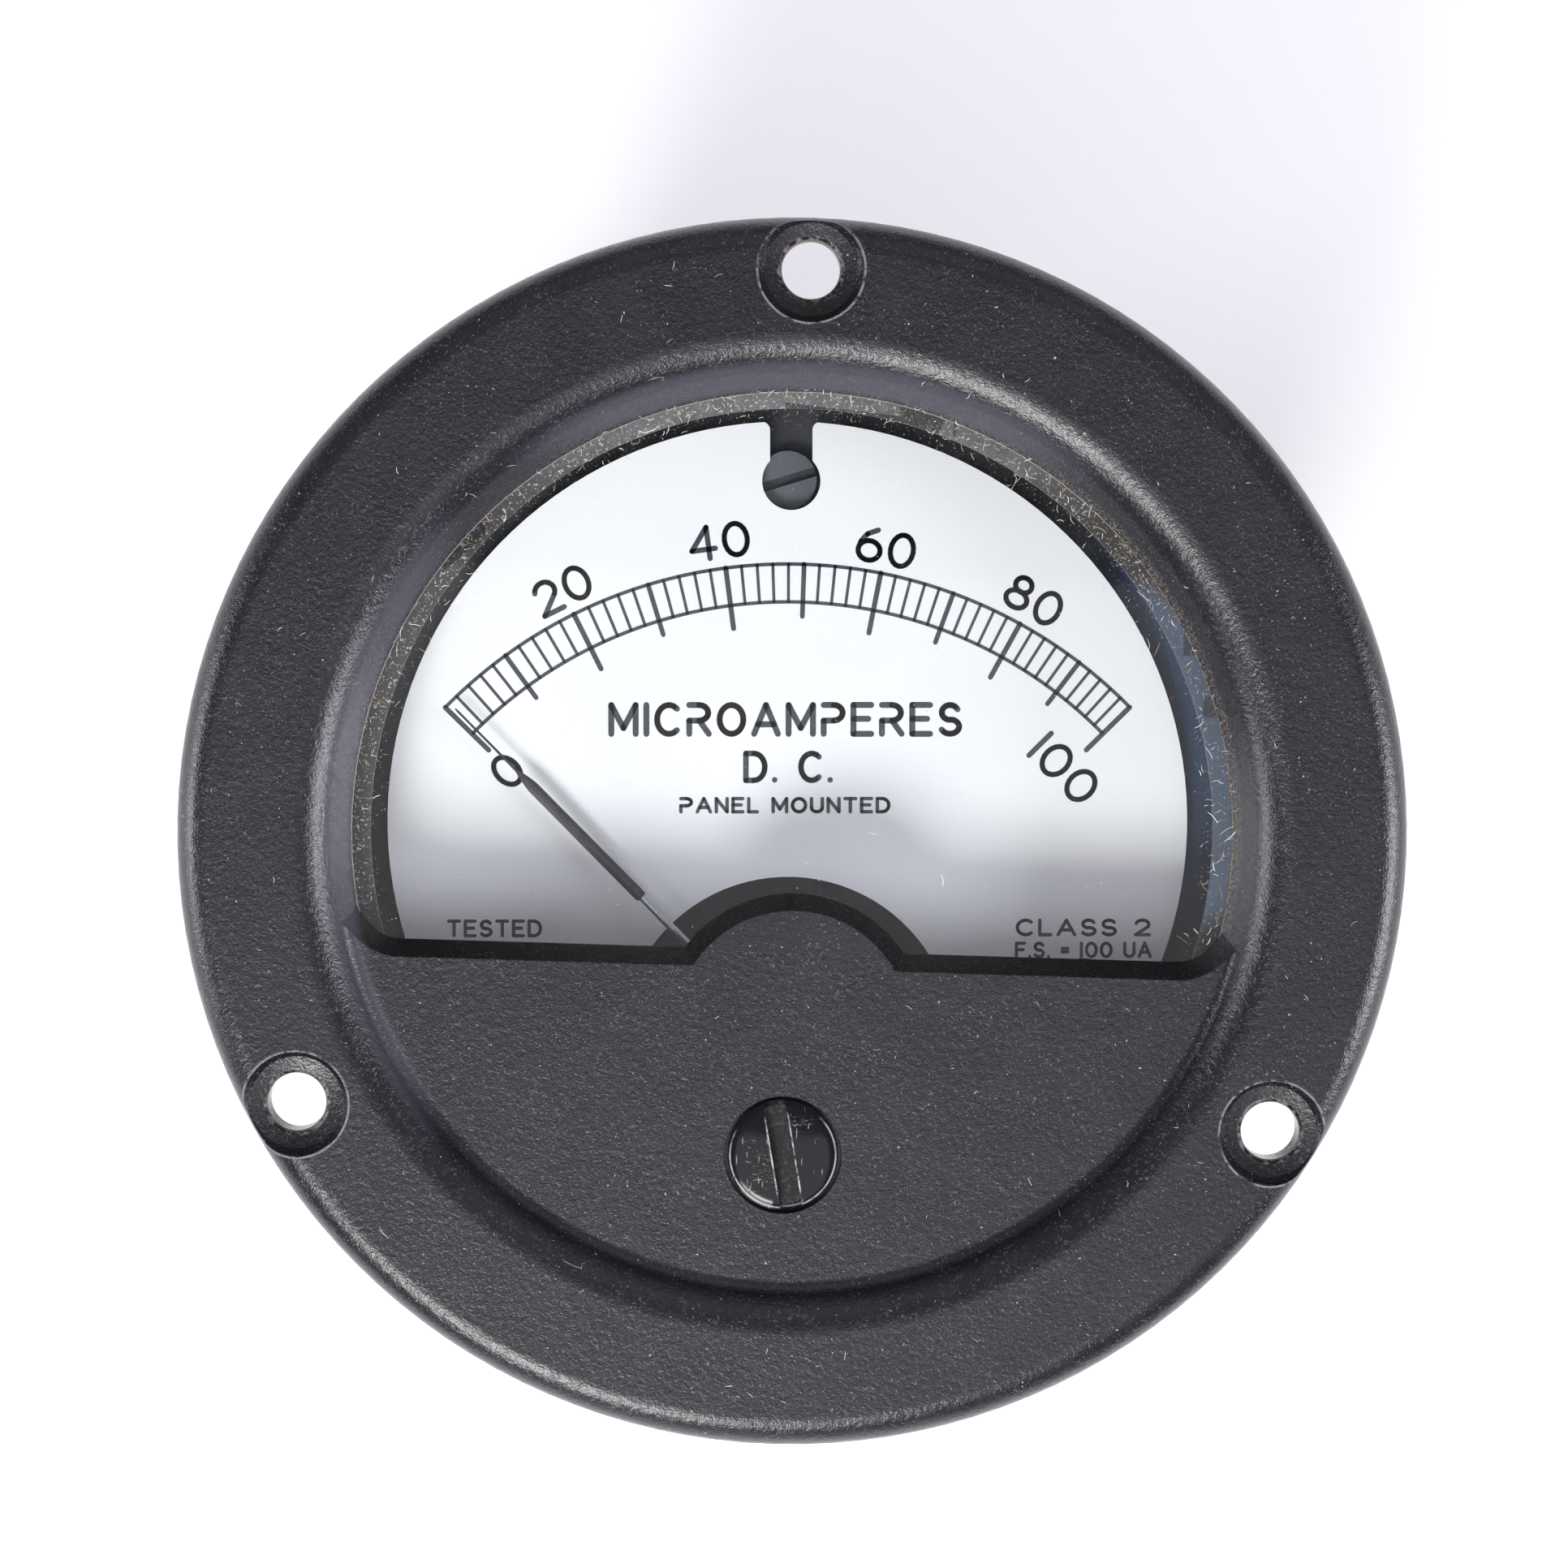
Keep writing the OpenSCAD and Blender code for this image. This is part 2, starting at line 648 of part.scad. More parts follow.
module rear_jewel_screw() {
    color([0.8, 0.66, 0.32]) on_pivot_axes() up(rear_screw_z) mirror([0, 0, 1]) rotate(60) jewel_screw(3.4);
}
module front_lock_nut() {
    color([0.8, 0.66, 0.32]) on_pivot_axes()
        hex_nut(3.8, bridge_z + bridge_t, bridge_z + bridge_t + 0.6, jewel_screw_r + 0.02);
}
module rear_lock_nut() {
    color([0.8, 0.66, 0.32]) on_pivot_axes()
        hex_nut(3.8, rear_bridge_z - bridge_t - 0.8, rear_bridge_z - bridge_t, jewel_screw_r + 0.02);
}
module jewel() {
    // cup jewel, its mouth at Z = 0
    difference() {
        rod(jewel_r, 0, 0.65);
        up(-eps) cylinder(r1 = 0.42, r2 = 0.05, h = 0.45);
    }
}
module jewels() {
    color([0.75, 0.1, 0.2]) on_pivot_axes() {
        up(front_screw_z) jewel();
        up(rear_screw_z) mirror([0, 0, 1]) jewel();
    }
}
module rear_spring_arm() {
    z = rear_bridge_z + 0.1;
    color([0.8, 0.66, 0.32]) on_pivot_axes() {
        tube(2.1, jewel_screw_r + 0.02, z, z + 0.4);
        rotate(200) {
            block(1.9, spring_out_r + 0.5, -0.6, 0.6, z, z + 0.4);
            block(spring_out_r + 0.1, spring_out_r + 0.5, -0.6, 0.6, z, rear_spring_z + spring_h);
        }
    }
}
module pointer_stops() {
    // two upright wires in rubber sleeves, just past each end of the pointer's travel
    full_angle = rest_angle - 89.9;
    color([0.12, 0.12, 0.12]) at_pivot() for (a = [rest_angle + stop_angle, full_angle - stop_angle - 1])
        rotate(a) translate([a > 0 ? -0.55 : 0.55, stop_y]) rod(0.3, frame_z, pointer_z + 0.8);
}
module lead(points) {
    // insulated wire along straight runs, with a ball at each corner
    for (i = [0:len(points) - 2]) {
        d = points[i + 1] - points[i];
        translate(points[i]) {
            rotate([0, acos(d.z / norm(d)), atan2(d.y, d.x)]) cylinder(r = lead_r, h = norm(d), $fn = 24);
            if (i > 0) sphere(r = lead_r * 1.15, $fn = 24);
        }
    }
}
lug_top_z = head_base_z + lead_r;
gap_z = (frame_z + dial_z - dial_t) / 2;
module lead_positive() {
    start = [terminal_spacing / 2, 8.8];
    color([0.6, 0.08, 0.06]) lead([[start.x, start.y, lug_top_z], [start.x, start.y, gap_z], [8.75, -11.5, gap_z]]);
}
module lead_negative() {
    rear_end = [-3.6, -11.6, rear_bridge_z - bridge_t - lead_r - free];
    color([0.05, 0.05, 0.05]) lead([[-terminal_spacing / 2, 8.8, lug_top_z], rear_end]);
}

// ---- Moving system, drawn with the pointer along +Y ----
module round_frame(x, z0, z1, r) {
    // upright rounded rectangle in the XZ plane
    rotate([90, 0, 0]) linear_extrude(2 * coil_half_w, center = true) union() {
        translate([-x, z0 + r]) square([2 * x, z1 - z0 - 2 * r]);
        translate([-x + r, z0]) square([2 * x - 2 * r, z1 - z0]);
        for (sx = [-1, 1], z = [z0 + r, z1 - r]) translate([sx * (x - r), z]) circle(r = r, $fn = 48);
    }
}
module coil_layer(inner, outer, r_in, r_out) {
    z1 = core_top_z + coil_gap;
    z0 = core_top_z - core_h - coil_gap;
    difference() {
        round_frame(former_in + outer, z0 - outer, z1 + outer, r_out);
        scale([1, 2, 1]) round_frame(former_in + inner, z0 - inner, z1 + inner, r_in);
    }
}
module coil_former() {
    color([0.75, 0.76, 0.78]) on_coil() coil_layer(0, former_t, 0.3, 0.55);
}
module coil_winding() {
    color([0.65, 0.32, 0.16]) on_coil() coil_layer(former_t, former_t + winding_t, 0.55, 1.1);
}
module staff() {
    // foot at Z = 0, point upwards; the caller gives the top
    rod(1.3, 0, 0.4);
    rod(staff_r, 0.4 - eps, $staff_h);
    up($staff_h - eps) cylinder(r1 = staff_r, r2 = pivot_r, h = 0.25);
    rod(pivot_r, $staff_h, $staff_h + 0.6);
    up($staff_h + 0.6 - eps) cylinder(r1 = pivot_r, r2 = 0.03, h = 0.2);
}
module front_staff() {
    $staff_h = front_screw_z - 0.45 - coil_top_z;
    color([0.82, 0.82, 0.84]) on_coil() up(coil_top_z) staff();
}
module rear_staff() {
    $staff_h = coil_bottom_z - rear_screw_z - 0.45;
    color([0.82, 0.82, 0.84]) on_coil() up(coil_bottom_z) mirror([0, 0, 1]) staff();
}
module pointer() {
    half = lance_w / 2;
    color([0.03, 0.03, 0.03]) on_coil() {
        tube(1.35, staff_r, pointer_z, pointer_z + pointer_t);
        up(pointer_z) linear_extrude(pointer_t) polygon([
            [-base_w / 2, 1], [base_w / 2, 1], [base_w / 2, lance_y], [half, lance_y], [half, taper_y],
            [needle_w / 2, needle_y], [needle_w / 2, pointer_r], [-needle_w / 2, pointer_r],
            [-needle_w / 2, needle_y], [-half, taper_y], [-half, lance_y], [-base_w / 2, lance_y]
        ]);
    }
}
cross_angles = [0, 180, 270];
module balance_cross() {
    color([0.8, 0.66, 0.32]) on_coil() {
        tube(1.1, staff_r, cross_z - cross_r, pointer_z);
        for (a = cross_angles) rotate(a) translate([0.9, 0, cross_z]) rotate([0, 90, 0])
            cylinder(r = cross_r, h = cross_reach - 0.9, $fn = 24);
    }
}
module balance_weights() {
    color([0.72, 0.7, 0.66]) on_coil() for (a = cross_angles) rotate(a)
        translate([a == 270 ? 3.4 : 3, 0, cross_z]) rotate([0, 90, 0]) difference() {
            cylinder(r = weight_r, h = 1, $fn = 32);
            up(-1) cylinder(r = cross_r, h = 3, $fn = 24);
        }
}
module front_hairspring() {
    color([0.75, 0.55, 0.25]) at_pivot() rotate(arm_turn - 90) up(front_spring_z) linear_extrude(spring_h)
        polygon(spiral(spring_in_r, spring_out_r, spring_turns, spring_w));
}
module rear_hairspring() {
    color([0.75, 0.55, 0.25]) on_pivot_axes() rotate(20) up(rear_spring_z) linear_extrude(spring_h)
        polygon(spiral(spring_in_r, spring_out_r, spring_turns, spring_w));
}

// ---- Zero adjustment ----
module zero_adjuster() {
    dome_h = head_top_z - head_rim_z;
    dome_r = (head_r * head_r + dome_h * dome_h) / (2 * dome_h);
    color([0.02, 0.02, 0.02]) at_adjuster() difference() {
        union() {
            intersection() {
                rod(head_r, head_z, head_top_z + 1);
                up(head_top_z - dome_r) sphere(r = dome_r, $fn = 128);
            }
            difference() {
                rod(stem_r, stem_end_z, head_z + eps);
                tube(stem_r + 1, groove_r, boss_z - clip_t - 0.15, boss_z - 0.05);
                up(o_ring_z) tube(stem_r + 1, stem_r - 2 * o_ring_r, -o_ring_r - 0.03, o_ring_r + 0.03);
            }
            translate(pin_offset * -to_adjuster / arm_length) rod(pin_r, pin_end_z, stem_end_z + eps);
        }
        rotate(slot_turn) block(-slot_w / 2, slot_w / 2, -5, 5, head_top_z - 0.75, head_top_z + 1);
    }
}
module adjuster_o_ring() {
    color([0.05, 0.05, 0.05]) at_adjuster() up(o_ring_z) rotate_extrude()
        translate([stem_r - o_ring_r, 0]) circle(r = o_ring_r - 0.005, $fn = 32);
}
module adjuster_clip() {
    z = boss_z - 0.1;
    color([0.6, 0.6, 0.62]) at_adjuster() difference() {
        tube(clip_r, groove_r, z - clip_t, z);
        block(-0.7, 0.7, -5, 0, z - 2, z + 1);
    }
}
module zero_arm() {
    fork_slot = 2 * pin_r + 0.12;
    color([0.8, 0.66, 0.32]) at_pivot() rotate(arm_turn) difference() {
        union() {
            tube(2.1, jewel_screw_r + free, arm_z, arm_z + arm_t);
            block(-0.95, 0.95, -arm_length - 0.2, -1.8, arm_z, arm_z + arm_t);
            rotate(90) {
                block(spring_out_r + 0.1, spring_out_r + 0.5, -0.6, 0.6, front_spring_z, arm_z + arm_t);
                block(1.9, spring_out_r + 0.5, -0.6, 0.6, arm_z, arm_z + arm_t);
            }
        }
        block(-fork_slot / 2, fork_slot / 2, -arm_length - 1, -arm_length + 2, arm_z - 1, arm_z + 1);
    }
}

front_flange();
window_glass();
window_gasket();
glass_retainer();
retainer_screws();
case_seal();
case_can();
outer_insulators();
inner_insulators();
terminal_studs();
solder_lugs();
clamp_nuts();
flat_washers();
lock_washers();
terminal_nuts();
frame_lugs();
movement_frame();
frame_screws();
dial_plate();
dial_pillars();
dial_screws();
magnet();
pole_piece_left();
pole_piece_right();
pole_screws();
iron_core();
core_bracket();
front_bridge();
bridge_pillars();
front_bridge_screws();
front_jewel_screw();
front_lock_nut();
rear_bridge();
rear_bridge_screws();
rear_jewel_screw();
rear_lock_nut();
jewels();
rear_spring_arm();
pointer_stops();
lead_positive();
lead_negative();
coil_former();
coil_winding();
front_staff();
rear_staff();
pointer();
balance_cross();
balance_weights();
front_hairspring();
rear_hairspring();
zero_adjuster();
adjuster_o_ring();
adjuster_clip();
zero_arm();
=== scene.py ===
"""Looks for a round panel microammeter. Metres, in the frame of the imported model."""
import json
import math
import random

import bpy
from mathutils import Matrix, Vector


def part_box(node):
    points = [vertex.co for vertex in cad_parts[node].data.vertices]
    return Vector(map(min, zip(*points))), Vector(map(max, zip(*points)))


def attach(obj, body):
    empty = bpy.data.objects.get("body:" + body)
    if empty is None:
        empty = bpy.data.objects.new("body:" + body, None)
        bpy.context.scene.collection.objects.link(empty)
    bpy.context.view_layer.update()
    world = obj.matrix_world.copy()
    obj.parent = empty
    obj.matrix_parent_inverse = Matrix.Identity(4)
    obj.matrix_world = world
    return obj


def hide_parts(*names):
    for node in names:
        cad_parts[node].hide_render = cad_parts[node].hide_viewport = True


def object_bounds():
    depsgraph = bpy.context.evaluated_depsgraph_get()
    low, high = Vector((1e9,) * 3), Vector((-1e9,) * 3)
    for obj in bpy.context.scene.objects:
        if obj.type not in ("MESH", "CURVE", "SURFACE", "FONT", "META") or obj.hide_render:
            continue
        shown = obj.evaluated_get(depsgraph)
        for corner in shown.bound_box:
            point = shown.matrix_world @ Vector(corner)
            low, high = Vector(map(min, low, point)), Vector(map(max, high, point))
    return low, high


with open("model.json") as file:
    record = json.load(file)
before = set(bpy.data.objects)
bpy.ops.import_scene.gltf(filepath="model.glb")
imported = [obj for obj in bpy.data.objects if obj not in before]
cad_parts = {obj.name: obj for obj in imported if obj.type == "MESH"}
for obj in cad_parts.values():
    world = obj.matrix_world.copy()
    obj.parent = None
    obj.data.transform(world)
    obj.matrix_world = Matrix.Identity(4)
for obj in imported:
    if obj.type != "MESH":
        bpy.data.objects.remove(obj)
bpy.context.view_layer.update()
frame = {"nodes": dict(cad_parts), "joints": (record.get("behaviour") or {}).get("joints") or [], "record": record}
NODES = frame["nodes"]
MM = 0.001
rng = random.Random(7)

# Places taken from the CAD frame, in millimetres
TOP_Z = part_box("front_flange")[1].z / MM
DIAL_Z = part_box("dial_plate")[1].z / MM
GLASS_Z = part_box("window_glass")[1].z / MM
JOINT = {j["name"]: j for j in frame["joints"]}
PIVOT = Vector(JOINT["pointer_swing"]["pos_m"][:2]) / MM
TURN = math.radians(1.8)        # the movement sits turned in its case
REST = math.radians(46.3)       # resting pointer, anticlockwise from straight up
PANEL_Z = 1.8                   # top of the lower panel
HOLE_R = 1.6                    # mounting holes
FUNNEL_RISE = math.tan(math.radians(58))
CREST_R = 2.6                   # rounding between the funnel and the flat front
FLAT_R = 27.58                  # where the flat front begins
HOLES = [(31 * math.cos(math.radians(a)), 31 * math.sin(math.radians(a))) for a in (90, 210, 330)]


# ---------------------------------------------------------------- materials
class Mat:
    """One node material. p is the object position in millimetres."""

    def __init__(self, name, **inputs):
        self.m = bpy.data.materials.new(name)
        self.m.use_nodes = True
        self.nt = self.m.node_tree
        self.b = self.nt.nodes["Principled BSDF"]
        for k, v in inputs.items():
            self.b.inputs[k.replace("_", " ")].default_value = v
        tc = self.nt.nodes.new("ShaderNodeTexCoord")
        self.p = self.vec("MULTIPLY", tc.outputs["Object"], (1 / MM,) * 3)
        sep = self.nt.nodes.new("ShaderNodeSeparateXYZ")
        self.nt.links.new(self.p, sep.inputs[0])
        self.x, self.y, self.z = sep.outputs

    def put(self, socket, v):
        if isinstance(v, bpy.types.NodeSocket):
            self.nt.links.new(v, socket)
        elif hasattr(socket.default_value, "__len__") and not hasattr(v, "__len__"):
            socket.default_value = (v,) * len(socket.default_value)
        elif hasattr(v, "__len__") and len(v) == 3 and len(socket.default_value) == 4:
            socket.default_value = (*v, 1)
        else:
            socket.default_value = v

    def set(self, name, v):
        self.put(self.b.inputs[name], v)

    def vec(self, op, a, b):
        n = self.nt.nodes.new("ShaderNodeVectorMath")
        n.operation = op
        self.put(n.inputs[0], a)
        self.put(n.inputs[1], b)
        return n.outputs["Value" if op in ("LENGTH", "DISTANCE", "DOT_PRODUCT") else "Vector"]

    def math(self, op, a, b=0.0, clamp=False):
        n = self.nt.nodes.new("ShaderNodeMath")
        n.operation, n.use_clamp = op, clamp
        self.put(n.inputs[0], a)
        self.put(n.inputs[1], b)
        return n.outputs[0]

    def add(self, a, b): return self.math("ADD", a, b)
    def mul(self, a, b): return self.math("MULTIPLY", a, b)
    def sub(self, a, b): return self.math("SUBTRACT", a, b)

    def step(self, v, lo, hi, a=0.0, b=1.0):
        n = self.nt.nodes.new("ShaderNodeMapRange")
        n.interpolation_type = "SMOOTHSTEP"
        for s, w in zip(n.inputs, (v, lo, hi, a, b)):
            self.put(s, w)
        return n.outputs[0]

    def band(self, v, lo, hi, soft):
        return self.mul(self.step(v, lo - soft, lo + soft), self.step(v, hi - soft, hi + soft, 1, 0))

    def noise(self, scale, detail=3.0, rough=0.5, vec=None, stretch=None, twist=0.0):
        v = self.p if vec is None else vec
        if stretch is not None:
            v = self.vec("MULTIPLY", v, stretch)
        n = self.nt.nodes.new("ShaderNodeTexNoise")
        self.put(n.inputs["Vector"], v)
        n.inputs["Scale"].default_value = scale
        n.inputs["Detail"].default_value = detail
        n.inputs["Roughness"].default_value = rough
        n.inputs["Distortion"].default_value = twist
        return n.outputs[0]

    def mix(self, f, a, b):
        n = self.nt.nodes.new("ShaderNodeMix")
        n.data_type = "RGBA"
        self.put(n.inputs[0], f)
        self.put(n.inputs[6], a)
        self.put(n.inputs[7], b)
        return n.outputs[2]

    def radius(self, cx=0.0, cy=0.0):
        dx, dy = self.sub(self.x, cx), self.sub(self.y, cy)
        return self.math("SQRT", self.add(self.mul(dx, dx), self.mul(dy, dy)))

    def bump(self, height, depth_mm, strength=1.0):
        n = self.nt.nodes.new("ShaderNodeBump")
        n.inputs["Distance"].default_value = depth_mm * MM
        self.put(n.inputs["Strength"], strength)
        self.put(n.inputs["Height"], height)
        self.nt.links.new(n.outputs[0], self.b.inputs["Normal"])
        return n.outputs[0]


def panel_paint():
    s = Mat("panel_paint", Roughness=0.35, Specular_IOR_Level=0.5)
    r = s.radius()
    pebble = s.noise(3.0, 3, 0.6, twist=0.4)
    fine = s.noise(9.0, 2, 0.6)
    height = s.add(s.mul(pebble, 0.8), s.mul(fine, 0.4))
    tone = s.mix(s.step(s.noise(0.35, 4), 0.35, 0.7), (0.0058, 0.0052, 0.0082), (0.0092, 0.0084, 0.0122))
    # pale specks between the paint's pebbles, fine and dense, partly dust and partly painted sparkle where the
    # pebbles catch the light, and a few larger flecks of dust
    dense_dust_and_sparkle = s.mul(s.step(s.noise(6.5, 2, 0.5), 0.6, 0.7), s.step(s.noise(0.45, 3), 0.35, 0.65, 0.3, 1))
    sparse = s.step(s.noise(4.6, 1, 0.5), 0.77, 0.8)
    tone = s.mix(s.mul(dense_dust_and_sparkle, 0.55), tone, (0.1, 0.095, 0.105))
    tone = s.mix(s.mul(sparse, 0.8), tone, (0.4, 0.39, 0.4))
    # the smooth bevel round the window and its browner tint
    inner = s.mul(s.band(s.z, 0.42, PANEL_Z - 0.05, 0.05), s.step(r, 24.2, 24.4, 1, 0))
    tone = s.mix(s.mul(inner, 0.8), tone, (0.008, 0.0066, 0.0064))
    # the upright edge at the glass: a pale painted highlight line, brown with dust at the right
    edge = s.mul(s.step(s.z, 0.56, 0.6, 1, 0), s.band(r, 24.3, 24.42, 0.03))
    side = s.mul(s.step(s.x, 14, 20), s.step(s.y, -7, -3))
    glass_edge_highlight = s.mix(s.noise(5.0, 3, 0.7), (0.1, 0.1, 0.1), (0.34, 0.33, 0.31))
    brown = s.mix(s.step(s.noise(6.0, 4, 0.7), 0.4, 0.6), (0.02, 0.014, 0.01), (0.24, 0.16, 0.1))
    tone = s.mix(edge, tone, s.mix(side, glass_edge_highlight, brown))
    gather = s.mul(s.mul(s.band(r, 24.35, 24.75, 0.12), s.step(s.y, -6, -4)),
                   s.step(s.add(s.noise(8.0, 5, 0.75), s.mul(s.step(s.x, -20, 22), 0.07)), 0.6, 0.68))
    tone = s.mix(s.mul(gather, 0.7), tone, (0.24, 0.2, 0.15))
    # patches of painted highlight on the crest of the funnel and on the rim, also standing for rubbed paint
    crest = s.add(s.band(r, 25.9, 27.3, 0.4), s.step(r, 32.9, 33.8))
    crest_rub_highlight = s.mul(s.mul(crest, s.step(s.z, 1.9, 2.6)), s.step(s.noise(2.4, 5, 0.65), 0.56, 0.7))
    tone = s.mix(s.mul(crest_rub_highlight, 0.3), tone, (0.09, 0.088, 0.09))
    # scuffs on the lower panel
    scuff = s.mul(s.step(s.noise(1.0, 6, 0.75, stretch=(0.8, 3.2, 1)), 0.62, 0.7),
                  s.step(s.noise(0.12, 2), 0.52, 0.62))
    tone = s.mix(s.mul(scuff, 0.4), tone, (0.13, 0.125, 0.135))
    # painted sheen: the funnel's wall is painted paler and lavender at the top and at the left, where it catches
    # the light
    wall = s.math("MAXIMUM", s.step(s.y, 19, 23), s.step(s.x, -18, -22))
    wall = s.mul(s.band(r, 24.5, 25.9, 0.3), s.mul(s.step(s.z, 0.6, 0.9), wall))
    tone = s.mix(s.mul(wall, 0.8), tone, (0.05, 0.046, 0.062))
    bare, chips_grime_and_lip_highlight = 0.0, 0.0
    for hx, hy in HOLES:
        d = s.radius(hx, hy)
        bare = s.add(s.mul(s.step(d, HOLE_R + 0.03, HOLE_R + 0.08, 1, 0), s.step(s.z, 2.1, 2.2, 1, 0)), bare)
        edge = s.mul(s.band(d, 2.84, 3.0, 0.05), s.step(s.z, 2.5, 3.1))
        # painted highlight: a pale broken ring round the hole's lip, mixed in with the chips and grime
        lip_highlight = s.band(d, HOLE_R + 0.02, HOLE_R + 0.24, 0.05)
        ring = s.add(s.mul(edge, s.step(s.noise(1.3, 5, 0.7), 0.4, 0.54)),
                     s.mul(lip_highlight, s.step(s.noise(2.2, 4, 0.7), 0.44, 0.62)))
        grime = s.mul(s.band(d, HOLE_R + 0.3, 2.8, 0.1), s.step(s.noise(4.0, 5, 0.75), 0.6, 0.72))
        chips_grime_and_lip_highlight = s.add(s.add(ring, s.mul(grime, 0.5)), chips_grime_and_lip_highlight)
    chips_grime_and_lip_highlight = s.math("MULTIPLY", chips_grime_and_lip_highlight, 0.8, clamp=True)
    bare = s.math("MULTIPLY", bare, 1.0, clamp=True)
    tone = s.mix(chips_grime_and_lip_highlight, tone, (0.2, 0.19, 0.2))
    brass = s.mix(s.noise(3.0, 4, stretch=(1, 1, 4)), (0.05, 0.04, 0.028), (0.22, 0.18, 0.13))
    s.set("Base Color", s.mix(s.mul(bare, 0.95), tone, brass))
    rough = s.add(0.2, s.mul(s.noise(1.2, 4), 0.12))
    rough = s.add(rough, s.mul(s.math("MAXIMUM", gather, dense_dust_and_sparkle), 0.3))
    s.set("Roughness", s.sub(rough, s.mul(inner, 0.08)))
    # the coat is thin on the bevel and the funnel
    coarse = s.add(0.6, s.mul(s.add(s.band(r, 25.6, 27.5, 0.35), s.step(r, 31.8, 32.4)), 0.05))
    low = s.mul(s.step(s.z, 0.5, 0.6), s.step(s.y, -6.5, -6.4, 0, 0.3))
    coarse = s.sub(coarse, s.mul(s.step(r, 25.3, 25.7, 1, 0), low))
    s.bump(height, 0.08, s.mul(coarse, s.sub(1.0, s.mul(s.math("ADD", inner, bare, clamp=True), 0.8))))
    return s.m


def case_paint():
    s = Mat("case_paint", Roughness=0.33, Specular_IOR_Level=0.5)
    peel = s.noise(0.9, 2, 0.5)
    grit = s.noise(6.0, 3, 0.6)
    tone = s.mix(s.step(s.noise(0.12, 4), 0.35, 0.7), (0.013, 0.013, 0.014), (0.021, 0.02, 0.021))
    edge = s.mul(s.step(s.z, -34.6, -35.6), s.step(s.radius(), 25.6, 27.2))
    worn = s.mul(edge, s.step(s.noise(1.1, 6, 0.7), 0.5, 0.66))
    scratch = s.mul(s.step(s.noise(1.2, 3, 0.5, stretch=(0.25, 0.25, 5)), 0.68, 0.72),
                    s.step(s.noise(0.1, 2), 0.5, 0.6))
    tone = s.mix(s.mul(s.math("MAXIMUM", worn, scratch), 0.5), tone, (0.12, 0.115, 0.11))
    s.set("Base Color", tone)
    s.set("Roughness", s.add(0.26, s.mul(s.noise(0.6, 5), 0.22)))
    s.bump(s.add(peel, s.mul(grit, 0.06)), 0.05)
    return s.m


def rubber(name, dark, light, scale=4.0):
    s = Mat(name, Roughness=0.75, Specular_IOR_Level=0.3)
    s.set("Base Color", s.mix(s.step(s.noise(scale, 5, 0.65), 0.4, 0.72), dark, light))
    s.set("Roughness", s.add(0.6, s.mul(s.noise(1.5, 3), 0.25)))
    s.bump(s.noise(scale * 1.5, 4), 0.03)
    return s.m


def gasket():
    """Smooth grey gasket, seen through the glass; painted shade darkens it below its top and more at the bottom,
    and it looks slate blue where the case's wall shades it.
    """
    s = Mat("grey_rubber", Roughness=0.6, Specular_IOR_Level=0.3)
    grey = s.mix(s.step(s.noise(0.7, 5, 0.6), 0.35, 0.7), (0.1, 0.1, 0.098), (0.15, 0.15, 0.148))
    # painted light and shade: grey at the top, where the light reaches it, and much darker below
    grey = s.mix(s.step(s.y, 22.0, 17.0), grey, (0.042, 0.04, 0.038))
    speck = s.step(s.noise(5.5, 2, 0.6), 0.6, 0.66)
    grey = s.mix(s.mul(speck, 0.8), grey, (0.5, 0.47, 0.42))
    slate = s.mix(s.noise(1.0, 3), (0.042, 0.062, 0.095), (0.062, 0.085, 0.12))
    side = s.mul(s.step(s.x, 12, 20), s.band(s.y, -4.5, 14, 1.5))
    # painted shade: darkest at the bottom, under the lower panel
    low = s.step(s.y, -3.5, -5.5)
    tone = s.mix(low, s.mix(side, grey, slate), (0.03, 0.03, 0.032))
    s.set("Base Color", tone)
    s.set("Roughness", s.add(0.5, s.mul(s.noise(2.0, 3), 0.2)))
    s.bump(s.noise(6.0, 3), 0.008)
    return s.m


def blackened():
    """Blackened steel, tinted blue on the right of the movement."""
    s = Mat("blackened_steel", Metallic=0.35)
    lines = s.noise(9.0, 3, 0.6, stretch=(1, 6, 1))
    tone = s.mix(s.step(lines, 0.35, 0.65), (0.018, 0.019, 0.022), (0.045, 0.046, 0.052))
    head = s.step(s.z, DIAL_Z - 1.05, DIAL_Z - 0.95)
    tone = s.mix(head, tone, s.mix(lines, (0.075, 0.078, 0.09), (0.125, 0.127, 0.145)))
    # a blue tint on the right of the movement, away from the screw heads
    side = s.mul(s.step(s.x, 12, 18), s.band(s.y, -4.5, 16, 2.0))
    blue_right_tint = s.mix(lines, (0.012, 0.034, 0.075), (0.022, 0.052, 0.105))
    tone = s.mix(s.mul(side, s.sub(1.0, head)), tone, blue_right_tint)
    tone = s.mix(s.mul(s.step(s.noise(0.9, 5, 0.65), 0.55, 0.75), 0.2), tone, (0.1, 0.09, 0.08))
    s.set("Base Color", tone)
    s.set("Roughness", s.add(0.36, s.mul(s.noise(2.5, 4), 0.2)))
    s.bump(s.add(s.mul(lines, 0.5), s.noise(3.0, 2)), 0.006)
    return s.m


